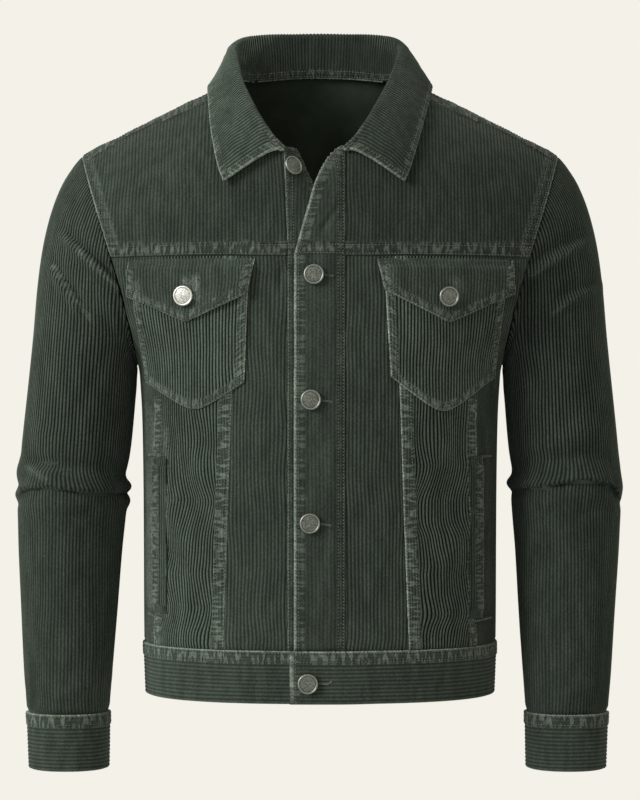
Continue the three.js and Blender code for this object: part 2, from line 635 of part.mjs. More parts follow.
function sleevePoint(setting, share, place) {
  const ring = sleeveRing(place);
  const point = ringPoint(ring, share);
  if (ring.loop > 0) {
    const own = armholeLoop(((share % 1) + 1) % 1).sub(ringPoint(SLEEVE_RINGS[0], share));
    point.addScaledVector(own, ring.loop);
  }
  const centre = new THREE.Vector3((ring.outX + ring.inX) / 2, ring.midY, (ring.outZ + ring.inZ) / 2);
  const radial = point.clone().sub(centre).normalize();
  const creaseZ = ELBOW.z + setting.elbowShift - ELBOW.dip * Math.abs(Math.cos(2 * Math.PI * share)) ** 3;
  const gap = point.z - creaseZ;
  const facing = 0.55 + 0.45 * Math.sin(2 * Math.PI * share);
  const fold = -ELBOW.trough * bump(gap, ELBOW.width)
    + ELBOW.above * bump(gap - 11, ELBOW.reach) + ELBOW.below * bump(gap + 12, ELBOW.reach);
  const front = smooth(0, 0.3, Math.sin(2 * Math.PI * share));
  point.addScaledVector(radial, fold * facing - drapeDepth(setting, point) * front);
  const swing = setting.swing * smooth(-284, -606, point.z);
  point.x = setting.sign * (point.x + swing);
  return point;
}

function sleeve(name) {
  const setting = SLEEVE_SIDES[name];
  const middle = (point) => {
    const share = clamp((ARM_AXIS.topZ - point.z) / ARM_AXIS.length);
    return new THREE.Vector3(setting.sign * lerp(ARM_AXIS.topX, ARM_AXIS.lowX, share), 0, point.z);
  };
  const surface = (u, v) => {
    const point = sleevePoint(setting, u, v);
    const share = ((u % 1) + 1) % 1;
    const near = 1 - smooth(0, 0.12, v);
    const underarm = smooth(0.14, 0.34, Math.min(share, 1 - share));
    const heart = new THREE.Vector3(setting.sign * UNDERARM_HEART.x, UNDERARM_HEART.y, UNDERARM_HEART.z);
    point.addScaledVector(heart.sub(point).normalize(), (CLOTH + 4 * SEAM_GAP) * underarm * near);
    point.x += setting.sign * 2 * SEAM_GAP * near;
    return point;
  };
  const outward = (point) => {
    const out = point.clone().sub(middle(point));
    if (point.z > -200) out.z = 60;
    return out;
  };
  add(`sleeve_${name}`, wall({ surface, columns: 22, rows: 22, thickness: CLOTH, around: true, outward }));
}

function cuff(name) {
  const setting = SLEEVE_SIDES[name];
  const last = SLEEVE_RINGS[SLEEVE_RINGS.length - 1];
  const surface = (u, v) => {
    const squeeze = CUFF_TAPER * v;
    const z = lerp(CUFF_TOP_Z, CUFF_HEM_Z, v);
    const ring = { ...last, outX: last.outX - squeeze, outZ: z, inX: last.inX + squeeze * 0.4, inZ: z };
    const point = ringPoint(ring, u);
    point.x = setting.sign * (point.x + setting.swing);
    return point;
  };
  const centreX = setting.sign * ((last.outX + last.inX) / 2 + setting.swing);
  const outward = (point) => new THREE.Vector3(point.x - centreX, point.y - last.midY, 0);
  add(`cuff_${name}`, wall({ surface, columns: 22, rows: 2, thickness: DOUBLE_CLOTH, around: true, outward }));
}

// A shank button: a short stem and a dished head with a rolled rim.
function buttonGeometry() {
  const { radius, stem, stemHeight, head, rim } = BUTTON;
  const top = stemHeight + head;
  const profile = [
    [0, 0], [stem, 0], [stem, stemHeight], [radius * 0.94, stemHeight], [radius, stemHeight + head * 0.45],
    [radius * 0.97, top - 0.15], [radius * 0.9, top], [radius * 0.82, top - rim], [0, top - rim * 0.6],
  ];
  return new THREE.LatheGeometry(profile.map(([r, y]) => new THREE.Vector2(r, y)), 12);
}

// Sets a button on a surface, just clear of its outer face.
function setButton(name, seat, normal) {
  const mesh = add(name, buttonGeometry(), SILVER);
  mesh.position.copy(seat).addScaledVector(normal, SEAM_GAP);
  mesh.quaternion.setFromUnitVectors(new THREE.Vector3(0, 1, 0), normal);
}

function surfaceNormal(surface, u, v, outward) {
  const step = 0.01;
  const normal = surface(u + step, v).sub(surface(u - step, v))
    .cross(surface(u, v + step).sub(surface(u, v - step))).normalize();
  return normal.dot(outward) < 0 ? normal.negate() : normal;
}

function bodyNormal(x, z) {
  const surface = (u, v) => bodyPoint(x + u * 100, z + v * 100);
  return surfaceNormal(surface, 0, 0, new THREE.Vector3(0, -1, 0));
}

function frontButtons() {
  const rise = (NECK_BUTTON.z - WAIST_SEAM_Z) / (OPEN_TOP_Z - WAIST_SEAM_Z);
  const neckShare = 1 - (1 - rise) ** (1 / NECK_CROWDING);
  const neckNormal = surfaceNormal(buttonBandSurface, NECK_BUTTON.share, neckShare, forwards());
  const neckSeat = buttonBandSurface(NECK_BUTTON.share, neckShare);
  neckSeat.addScaledVector(neckNormal, DOUBLE_CLOTH + SEAM_GAP);
  setButton('button_neck', neckSeat, neckNormal);
  PLACKET_BUTTONS.forEach(({ x, z }, i) => {
    const normal = bodyNormal(x, z);
    const seat = bodyPoint(x, z).addScaledVector(normal, 2 * DOUBLE_CLOTH + LAYER_GAP);
    setButton(`button_front_${i + 1}`, seat, normal);
  });
  const normal = bodyNormal(WAIST_BUTTON.x, WAIST_BUTTON.z);
  const seat = bodyPoint(WAIST_BUTTON.x, WAIST_BUTTON.z).addScaledVector(normal, 2 * DOUBLE_CLOTH + LAYER_GAP);
  setButton('button_waistband', seat, normal);
}

function flapButton(name) {
  const { x, z } = FLAP_BUTTONS[name];
  const normal = bodyNormal(x, z);
  const seat = bodyPoint(x, z).addScaledVector(normal, FLAP_LIFT + DOUBLE_CLOTH);
  setButton(`button_flap_${name}`, seat, normal);
}

// The cuff button sits at the back of the wrist, halfway down the cuff.
function cuffButton(name) {
  const setting = SLEEVE_SIDES[name];
  const last = SLEEVE_RINGS[SLEEVE_RINGS.length - 1];
  const x = setting.sign * ((last.outX + last.inX) / 2 + setting.swing + CUFF_BUTTON_ASIDE);
  const offset = CUFF_BUTTON_ASIDE / ((last.outX - last.inX) / 2);
  const y = last.midY + last.depth * (1 - offset ** SLEEVE_POWER) ** (1 / SLEEVE_POWER);
  const normal = new THREE.Vector3(setting.sign * 0.2, 1, 0).normalize();
  const seat = new THREE.Vector3(x, y, (CUFF_TOP_Z + CUFF_HEM_Z) / 2);
  seat.addScaledVector(normal, DOUBLE_CLOTH - 0.25);
  setButton(`button_cuff_${name}`, seat, normal);
}

add('yoke_front_right', frontYoke(-1));
add('yoke_front_left', frontYoke(1));
centreFronts();
sideFronts();
backYoke();
backPanel();
frontBands();
waistband();
collar();
frontButtons();
for (const name of ['right', 'left']) {
  chestPockets(name);
  sideWelt(name);
  sleeve(name);
  cuff(name);
  flapButton(name);
  cuffButton(name);
}

export default jacket;
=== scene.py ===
"""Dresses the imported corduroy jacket: cloth with real wales, felled seams, stitches, buttons and light.

Surfaces and tables are in millimetres and repeat the jacket's own, so every piece lies on its solid.
Meshes are in metres. The wearer faces -Y and the wearer's left is +X.
"""

import math

import bpy
import numpy as np
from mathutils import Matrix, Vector


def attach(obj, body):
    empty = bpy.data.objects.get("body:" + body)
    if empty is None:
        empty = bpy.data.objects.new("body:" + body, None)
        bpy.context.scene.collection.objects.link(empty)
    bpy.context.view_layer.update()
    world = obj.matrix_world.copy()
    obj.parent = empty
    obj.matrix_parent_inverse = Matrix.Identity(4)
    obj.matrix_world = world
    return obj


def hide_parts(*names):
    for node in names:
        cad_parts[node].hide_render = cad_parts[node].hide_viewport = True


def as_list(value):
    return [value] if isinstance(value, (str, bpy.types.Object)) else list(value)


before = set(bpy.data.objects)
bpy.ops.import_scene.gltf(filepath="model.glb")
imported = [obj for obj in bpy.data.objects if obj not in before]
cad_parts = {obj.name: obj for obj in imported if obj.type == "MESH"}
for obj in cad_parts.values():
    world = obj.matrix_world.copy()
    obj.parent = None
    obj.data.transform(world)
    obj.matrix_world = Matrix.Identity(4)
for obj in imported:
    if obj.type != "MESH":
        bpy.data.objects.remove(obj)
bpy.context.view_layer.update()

MM = 0.001


def columns(names, *rows):
    """A table whose named columns are arrays."""
    return {name: np.array(values, float) for name, values in zip(names.split(), zip(*rows))}


# Thickness of the cloth and of doubled cloth, the clearances between pieces, and the lap of sewn panels.
CLOTH = 1.6
DOUBLE_CLOTH = 2.6
COLLAR_CLOTH = 2.8
SEAM_GAP = 0.3
SEAM_LAP = 0.2
LAYER_GAP = 0.4

# Heights of the seams and the widths of the front bands.
YOKE_SEAM_Z = -162
BACK_YOKE_SEAM_Z = -150
WAIST_SEAM_Z = -539
HEM_Z = -590
ARMPIT_Z = -266
BAND_SEAM_X = -31
PLACKET_SEAM_X = 23.8
PLACKET_EDGE_X = -24.8
BAND_EDGE_X = 7.6
WAISTBAND_LEFT_END_X = -28.6
OVERLAP_RAMP = (0.3, 0.07)

# The section of the body at each height: a superellipse of half widths and depths.
SECTION_POWER = 2.4
BODY_SECTIONS = columns(
    "z half front back",
    (-595, 171.4, 117, 119),
    (-539, 173.4, 119, 121),
    (-440, 174.0, 121, 124),
    (-380, 174.4, 122, 126),
    (-320, 175.5, 122, 127),
    (-284, 177.4, 121, 127),
    (-266, 179.5, 120, 127),
    (-248, 187.0, 119, 126),
    (-212, 217.0, 117, 124),
    (-166, 248.0, 113, 121),
    (-110, 274.0, 108, 114),
    (-56, 299.0, 104, 107),
    (70, 340.0, 98, 98),
)

# The ridge: the back neck seam out to the neck point, then the shoulder out to its tip.
SHOULDER_Y = 10
BACK_NECK_DEPTH = 54
BACK_NECK_POWER = 1.3
SHOULDER_TIP_X = 237
SHOULDER_TIP_Z = -57
RIDGE_GAP = 0.001
SHOULDER_REACH = 120
SHOULDER_POWER = 1.8
SHOULDER_RIDGE = columns(
    "x z",
    (0, 34.0),
    (30, 32.4),
    (60, 27.6),
    (86, 20.7),
    (140, -6.0),
    (200, -36.5),
    (225, -49.5),
    (237, -57.0),
)
ARMHOLE = columns(
    "z x",
    (-266, 179.5),
    (-257, 180.4),
    (-246, 182.0),
    (-212, 188.0),
    (-162, 202.0),
    (-113, 218.0),
    (-80, 229.0),
    (-57, 237.0),
)
PRINCESS_SEAMS = columns(
    "z right left",
    (-539, -92.2, 85.0),
    (-420, -88.5, 80.2),
    (-300, -84.0, 76.2),
    (-162, -79.5, 71.5),
)
NECK_POINT_X = 86
NECK_SHIFT = -5.6
NECK_SEAM_FRONT = columns(
    "x z",
    (86, 20.7),
    (82, 10.0),
    (77, -6.0),
    (68, -25.0),
    (57, -39.0),
    (44, -50.0),
    (30, -58.0),
)

# The front edges above the yoke seam, where the neck stands open, and how far each rolls back.
OPEN_TOP_Z = -56
OPEN_EDGES = columns(
    "z placket band placketRoll bandRoll",
    (-162, -24.8, 7.6, 0, 0),
    (-133, -17.1, 2.9, 0, 0),
    (-114, -11.5, -1.0, 0, 3),
    (-92, -4.8, -6.7, 1, 12),
    (-76, 4.8, -14.3, 7, 19),
    (-64, 14.3, -19.5, 12, 22),
    (-60, 20.5, -22.5, 13, 23),
)
SEAM_LEAN_POWER = 1.3
ROLL_POWER = {"placket": 2, "band": 1.3}

# Half of the collar, from the centre back to the front end: its seam, fold and outer edge.
COLLAR_SIDE = 0.4
STAND_SHARE = 0.3
LEAF_SHARE = 0.48
LEAF_BULGE = 4
FRONT_ARCH = {"height": 6, "from": 0.8, "power": 0.55}
COLLAR_STATIONS = columns(
    "seamX seamZ foldX foldY foldZ edgeX edgeY edgeZ round",
    (0, 34, 0, 70, 75.5, 0, 96, 4, 5),
    (26, 34, 27, 69, 75, 28, 92, 4, 5),
    (52, 34, 54, 63, 73.5, 60, 78, 5, 5),
    (74, 28, 76, 48, 68, 92, 52, 9, 5),
    (86, 20.7, 84, 26, 57, 109, 20, 13.5, 5),
    (82, 10, 80, -6, 42, 111.5, -17, 9, 4.6),
    (77, -6, 73, -40, 19, 108, -53, -10, 4.2),
    (68, -25, 64, -68, -4, 103, -81, -36, 3.8),
    (57, -39, 53, -88, -26, 97, -98.5, -61, 3.4),
    (44, -50, 41, -99, -45.5, 92, -106, -79, 3),
    (30, -58, 28, -105, -60, 87, -111, -91, 2.6),
)
FOLD_LEAN = np.array([0, 0, 1, 3, 4.5, 5.5, 6, 3, 1, 0, 0.0])
STAND_FOOT_DROP = 5.0

# Rings of the sleeve's inner face, from the armhole to the cuff.
SLEEVE_RINGS = columns(
    "outX outZ inX inZ midY depth loop",
    (237.0, -57, 179.5, -266, 5, 76, 1),
    (246.0, -68, 184.2, -267, 5, 75, 0.85),
    (257.0, -86, 184.4, -271, 4, 73, 0.6),
    (267.0, -112, 184.8, -275, 4, 71, 0.35),
    (275.0, -146, 185.1, -280, 3, 69, 0.15),
    (280.5, -187, 185.4, -288, 2, 67, 0.04),
    (284.5, -235, 186.6, -302, 1, 65, 0),
    (289.0, -280, 188.2, -322, 0, 63, 0),
    (293.5, -322, 190.0, -341, -1, 61, 0),
    (296.5, -350, 192.0, -356, -2, 60, 0),
    (298.5, -366, 194.0, -367, -3, 59, 0),
    (299.5, -376, 194.5, -376, -4, 58, 0),
    (299.5, -384, 194.0, -383, -5, 57, 0),
    (299.5, -391, 194.0, -390, -6, 56, 0),
    (299.5, -400, 194.0, -400, -7, 55, 0),
    (298.8, -418, 195.4, -418, -10, 53, 0),
    (297.5, -452, 198.6, -452, -14, 49, 0),
    (294.5, -508, 202.6, -508, -19, 43.5, 0),
    (291.5, -564, 207.0, -564, -23, 40, 0),
    (289.0, -596, 209.5, -596, -24, 37, 0),
    (288.0, -607, 210.0, -607, -24, 36, 0),
)
SLEEVE_POWER = 2.15
CUFF_TOP_Z = -607.4
CUFF_HEM_Z = -663
CUFF_TAPER = 2.2
CUFF_BUTTON_ASIDE = 12
UNDERARM_HEART = np.array([250.0, 7.0, -185.0])

# The line of the crease across each elbow, and the two long drape folds on the upper sleeve.
SLEEVE_SIDES = {
    "right": {
        "sign": -1,
        "swing": 0,
        "elbow": columns(
            "x z",
            (190, -391.5),
            (216, -389.7),
            (234, -388.8),
            (247, -386.7),
            (260, -385.0),
            (274, -385.2),
            (287, -388.0),
            (300, -397.0),
        ),
        "outerEdge": ((26, 8, 1.8), (12, 4.5, -1.0), (2.5, 5, 2.2), (-7, 4, -0.8)),
        "innerEdge": ((5, 5, 4.2), (17, 6, -1.2), (-1.5, 2.6, -1.4), (-9.5, 6, 3.2)),
        "drapes": columns(
            "x z toX toZ depth width",
            (250, -129, 190, -185, 5.6, 5.6),
            (263, -156, 224, -213, 4.2, 5.2),
        ),
    },
    "left": {
        "sign": 1,
        "swing": -5,
        "elbow": columns(
            "x z",
            (187.6, -386.5),
            (218.6, -384.0),
            (240, -380.3),
            (259, -377.6),
            (283, -384.0),
            (294, -395.4),
            (300, -400.0),
        ),
        "outerEdge": ((13, 9, 1.8), (-3, 5, -1.0)),
        "innerEdge": ((3.5, 6, 5.0), (-5, 4, -0.8)),
        "drapes": columns(
            "x z toX toZ depth width",
            (262, -132, 200, -166, 3.4, 7),
            (276, -176, 222, -204, 2.6, 7),
        ),
    },
}

# Chest flaps, pockets and side welts, and the places of the buttons.
CORNERS = "inner innerLow outer outerLow cornerZ tipX tipZ"
FLAPS = {
    "right": dict(zip(CORNERS.split(), (-62, -68.8, -184.5, -184.5, -199, -128, -224.5))),
    "left": dict(zip(CORNERS.split(), (54, 61.3, 185.5, 185.5, -195.5, 123.6, -225))),
}
POCKETS = {
    "right": dict(zip(CORNERS.split(), (-67.8, -71.6, -183.5, -167, -283, -119.7, -309))),
    "left": dict(zip(CORNERS.split(), (61.1, 67, 180, 168, -278, 117.8, -310.5))),
}
FLAP_TOP_Z = -164.6
POCKET_TOP_Z = -176
POCKET_LIFT = CLOTH + 2.5 * LAYER_GAP
FLAP_LIFT = POCKET_LIFT + CLOTH + LAYER_GAP
WELTS = {
    "right": {"inner": -147, "outer": -160.5, "topZ": -356, "lowZ": -507},
    "left": {"inner": 143, "outer": 156, "topZ": -354, "lowZ": -512},
}
# Where the side strips lie across, and how much painted shade falls on the side beyond each.
SIDE_STRIPS = {"right": {"x": 160.5, "shade": 0.0}, "left": {"x": 151.0, "shade": 0.8}}
STRIP_TOP_Z = -296
BUTTON = {
    "radius": 9.8,
    "stem": 4.2,
    "stemHeight": 1.2,
    "head": 2.6,
    "rim": 1.15,
    "recess": 0.75,
    "dome": 0.4,
}
PLACKET_BUTTONS = ((-5.8, -181), (-8.6, -300), (-9.5, -417))
NECK_BUTTON = {"share": 0.29, "z": -77}
WAIST_BUTTON = (-11.4, -569.5)
FLAP_BUTTONS = {"right": (-128.4, -200), "left": (121, -201)}

# Pale lines, from a place to another, their width and strength: rubbed wear, and along the sleeves' drape
# folds a painted highlight.
WORN_AND_HIGHLIGHT_LINES = {
    "flap_right": (
        (-119, -184, -119, -202, 3.6, 0.5),
        (-129, -187, -120, -187, 4.5, 0.4),
        (-176, -190, -176, -220, 4.5, 0.25),
    ),
    "flap_left": ((131, -187, 131, -201, 4.5, 0.3), (66, -175, 66, -205, 4.5, 0.25)),
    "sleeve_right": (
        (-250, -141, -193, -193, 1.7, 0.42),
        (-262, -167, -223, -222, 1.7, 0.42),
        (-288, -366, -268, -377, 3.0, 0.2),
    ),
    "sleeve_left": ((258, -146, 206, -179, 1.8, 0.22), (272, -190, 226, -216, 1.8, 0.18)),
    "yoke_right": (
        (-225, -66, -207, -120, 1.9, 0.24),
        (-207, -120, -193, -156, 1.9, 0.2),
        (-232, -72, -204, -150, 0.9, 0.16),
    ),
    "yoke_left": (
        (225, -66, 207, -120, 1.9, 0.16),
        (207, -120, 193, -156, 1.9, 0.14),
        (232, -72, 204, -150, 0.9, 0.1),
    ),
    "side_right": (
        (-165, -310, -165, -350, 5.0, 0.2),
        (-166, -362, -166, -500, 5.0, 0.2),
        (-150, -330, -150, -505, 3.5, 0.16),
        (-160, -520, -160, -532, 8.0, 0.1),
    ),
    "side_left": ((165, -330, 165, -500, 4.0, 0.06),),
}

# The corduroy: wales to the width of each kind of piece, how deep the grooves are, and how they waver.
WALE = {"body": 3.6, "side": 3.15, "pocket": 3.2, "band": 3.7, "collar": 3.5, "sleeve": 3.35}
GROOVE_DEPTH = 0.72
GROOVE_PLACES = np.array([0.0, 0.2, 0.5, 0.8])
WAVER = 0.9
WAVER_SPREAD = 34.0
WAVER_LENGTH = 46.0
# Painted side light: each piece's tone is painted lighter towards the wearer's right and darker towards the
# left, by this share over this reach.
PAINTED_LIGHT_SLOPE = 0.1
PAINTED_LIGHT_REACH = 200
# How much painted shade darkens a piece's tone and flattens its wales.
SHADED = {"wash": 0.42, "contrast": 0.85}

# How each kind of edge is finished: width and rise of its band, its rows of stitches, its rounding,
# how far in the wear reaches and how much the band puckers.
EDGES = {
    "felled": {"width": 12.5, "rise": 0.8, "rows": (2.0, 10.0), "round": 1.1, "worn": 0.9, "pucker": 1.0},
    "topstitched": {"width": 9.0, "rise": 0.4, "rows": (1.9, 7.4), "round": 1.3, "worn": 0.9, "pucker": 0.8},
    "piped": {"width": 11.0, "rise": 0.3, "rows": (4.4,), "round": 1.7, "worn": 2.2, "pucker": 0.65},
    "lined": {"width": 7.5, "rise": 0.25, "rows": (1.6, 6.4), "round": 1.1, "worn": 0.6, "pucker": 0.25},
    "folded": {"width": 6.0, "rise": 0.2, "rows": (2.2,), "round": 1.3, "worn": 1.0, "pucker": 0.6},
    "collar": {"width": 7.5, "rise": 0.2, "rows": (5.4,), "round": 1.4, "worn": 1.2, "pucker": 0.8},
    "armhole": {"width": 12.5, "rise": 0.7, "rows": (3.0, 8.6), "round": 1.1, "worn": 1.0, "pucker": 0.3},
    "shoulder": {"width": 28.0, "rise": 0.9, "rows": (4.0, 16.0), "round": 1.1, "worn": 1.6, "pucker": 0.9},
    "seated": {"width": 7.0, "rise": -2.2, "rows": (), "round": 1.6, "worn": 0.0, "pucker": 0.0},
    "hem": {"width": 4.0, "rise": 0.0, "rows": (), "round": 1.6, "worn": 0.7, "pucker": 0.0},
    "tucked": {"width": 3.0, "rise": -0.5, "rows": (), "round": 0.4, "worn": 0.0, "pucker": 0.0},
    "plain": {"width": 0.5, "rise": 0.0, "rows": (), "round": 0.3, "worn": 0.0, "pucker": 0.0},
}
FAR = 99.0
STITCH = {"pitch": 3.1, "length": 2.3, "radius": 0.3}
SCAN = {"rows": 320, "columns": 260, "inset": 0.002}

CAMERA_DISTANCE = 2.5
CAMERA_HEIGHT = -0.3
CAMERA_LENS = 112.5
FLOOR_Z = -1.45


def lerp(a, b, t):
    return a + (b - a) * t


def clamp(t):
    return np.clip(t, 0.0, 1.0)


def smooth(a, b, t):
    k = clamp((t - a) / (b - a))
    return k * k * (3 - 2 * k)


def bump(t, width):
    return np.exp(-((t / width) ** 2))


def signed_power(value, power):
    return np.sign(value) * np.abs(value) ** power


def unit(vectors):
    return vectors / np.maximum(np.linalg.norm(vectors, axis=-1, keepdims=True), 1e-12)


def stack(x, y, z):
    return np.stack(np.broadcast_arrays(x, y, z), axis=-1).astype(float)


def run_of(points):
    """The length along a line of points, at each of them."""
    return np.concatenate([[0], np.cumsum(np.linalg.norm(np.diff(points, axis=0), axis=1))])


def beside(points, x, z, to_x, to_z, within=False):
    """Seen from the front: each point's share along a line, and its distance from the line."""
    run = np.array([to_x - x, to_z - z], float)
    here = points[..., [0, 2]] - np.array([x, z], float)
    share = here @ run / (run @ run)
    if within:
        share = clamp(share)
    return share, np.linalg.norm(here - share[..., None] * run, axis=-1)


def hermite(keys, values, place):
    """A smooth curve through values at rising keys."""
    place = np.clip(place, keys[0], keys[-1])
    i = np.clip(np.searchsorted(keys, place, side="right") - 1, 0, len(keys) - 2)
    slopes = np.empty(len(keys))
    slopes[1:-1] = (values[2:] - values[:-2]) / (keys[2:] - keys[:-2])
    slopes[0] = (values[1] - values[0]) / (keys[1] - keys[0])
    slopes[-1] = (values[-1] - values[-2]) / (keys[-1] - keys[-2])
    span = keys[i + 1] - keys[i]
    t = (place - keys[i]) / span
    m0 = slopes[i] * span
    m1 = slopes[i + 1] * span
    t2 = t * t
    t3 = t2 * t
    return (
        (2 * t3 - 3 * t2 + 1) * values[i]
        + (t3 - 2 * t2 + t) * m0
        + (3 * t2 - 2 * t3) * values[i + 1]
        + (t3 - t2) * m1
    )


def read(table, key, column, place):
    """One column of a table at a place along another."""
    keys, values = table[key], table[column]
    if keys[-1] < keys[0]:
        keys, values = keys[::-1], values[::-1]
    return hermite(keys, values, place)


def along(table, column, share):
    """A column of a table whose rows are evenly spread over 0 to 1."""
    values = table[column]
    return hermite(np.linspace(0, 1, len(values)), values, share)


def row_of(table, i):
    return {column: values[i] for column, values in table.items()}


def noise(a, b, seed):
    """Smooth random waves between -1 and 1, one for each unit of a and b."""
    lattice = np.random.default_rng(seed).uniform(-1, 1, (64, 64))
    a, b = np.broadcast_arrays(np.asarray(a, float), np.asarray(b, float))
    i, j = np.floor(a).astype(int), np.floor(b).astype(int)
    u, v = smooth(0, 1, a - i), smooth(0, 1, b - j)
    low = lerp(lattice[i % 64, j % 64], lattice[(i + 1) % 64, j % 64], u)
    high = lerp(lattice[i % 64, (j + 1) % 64], lattice[(i + 1) % 64, (j + 1) % 64], u)
    return lerp(low, high, v)


def half(z):
    return read(BODY_SECTIONS, "z", "half", z)


def ridge(x):
    return read(SHOULDER_RIDGE, "x", "z", np.abs(x))


def armhole_x(z):
    return np.where(z < ARMPIT_Z, half(z), read(ARMHOLE, "z", "x", z))


def princess(side, z):
    return read(PRINCESS_SEAMS, "z", side, z)


def neck_shift(z):
    return NECK_SHIFT * smooth(20, -58, z)


def front_seam(side, z):
    """The seam between a front band and its yoke or front: straight, then leaning out to the neck."""
    seam_x = BAND_SEAM_X if side < 0 else PLACKET_SEAM_X
    end_x, end_z = NECK_SEAM_FRONT["x"][-1], NECK_SEAM_FRONT["z"][-1]
    end_x = side * end_x + neck_shift(end_z)
    rise = clamp((z - YOKE_SEAM_Z) / (end_z - YOKE_SEAM_Z))
    return lerp(seam_x, end_x, rise**SEAM_LEAN_POWER)


def body_y(x, z, behind=False):
    """The body's inner face at a place across and a height, in front or behind."""
    ratio = np.minimum(1, np.abs(x) / half(z))
    depth = read(BODY_SECTIONS, "z", "back" if behind else "front", z)
    full = depth * (1 - ratio**SECTION_POWER) ** (1 / SECTION_POWER)
    drop = clamp((ridge(x) - z) / SHOULDER_REACH)
    neck = np.maximum(0, 1 - (np.abs(x) / NECK_POINT_X) ** 2.2)
    power = lerp(SHOULDER_POWER, BACK_NECK_POWER, neck) if behind else SHOULDER_POWER
    share = (1 - (1 - drop) ** power) ** (1 / power)
    if behind:
        return lerp(SHOULDER_Y + BACK_NECK_DEPTH * neck, full, share)
    return lerp(SHOULDER_Y, -full, share)


# The way round the body at each height, by its length from the middle of the front or back.
TURN_POWER = SECTION_POWER / 2
TURN_END = (math.pi / 2) ** (1 / TURN_POWER)
TURNS = np.linspace(-TURN_END, TURN_END, 801)
LEVELS = np.arange(-600.0, 71.0, 5.0)
SPANS = np.arange(-360.0, 360.5, 1.0)


def turned_x(turn, z):
    return half(z) * signed_power(np.sin(signed_power(turn, TURN_POWER)), 2 / SECTION_POWER)


def girth_tables(behind):
    """For each level, the length at each turn and the turn at each length."""
    lengths, turns = [], []
    for level in LEVELS:
        x = turned_x(TURNS, level)
        y = body_y(x, level, behind)
        length = np.concatenate([[0], np.cumsum(np.hypot(np.diff(x), np.diff(y)))])
        length -= length[len(length) // 2]
        lengths.append(length)
        turns.append(np.interp(SPANS, length, TURNS))
    return np.array(lengths), np.array(turns)


GIRTH = {behind: girth_tables(behind) for behind in (False, True)}


def look_up(table, rows, row, cells, cell):
    """Reads an even table between its rows and cells."""
    row, cell = np.broadcast_arrays(row, cell)
    a = np.clip((row - rows[0]) / (rows[1] - rows[0]), 0, len(rows) - 1.001)
    b = np.clip((cell - cells[0]) / (cells[1] - cells[0]), 0, len(cells) - 1.001)
    i, j = a.astype(int), b.astype(int)
    u, v = a - i, b - j
    return lerp(lerp(table[i, j], table[i + 1, j], u), lerp(table[i, j + 1], table[i + 1, j + 1], u), v)


def length_at(x, z, behind=False):
    """How far round the body, from the middle, a place across lies."""
    angle = np.arcsin(np.clip(signed_power(x / half(z), TURN_POWER), -1, 1))
    turn = signed_power(angle, 1 / TURN_POWER)
    return look_up(GIRTH[behind][0], LEVELS, z, TURNS, turn)


def body_at(length, z, behind=False):
    """The point of the body's inner face at a length round it."""
    turn = look_up(GIRTH[behind][1], LEVELS, z, SPANS, length)
    x = turned_x(turn, z)
    return stack(x, body_y(x, z, behind), z)


def body_point(x, z, behind=False):
    return stack(x, body_y(x, z, behind), z)


def creases(rows):
    """Soft troughs and ridges along lines, as a depth for each point in front or behind."""

    def depth(points):
        total = np.zeros(points.shape[:-1])
        for x, z, to_x, to_z, height, width, behind in rows:
            share, aside = beside(points, x, z, to_x, to_z)
            taper = smooth(-0.15, 0.3, share) * (1 - smooth(0.65, 1.15, share))
            side = smooth(-6, 14, points[..., 1] if behind else -points[..., 1])
            total += height * bump(aside, width) * taper * side
        return total

    return depth


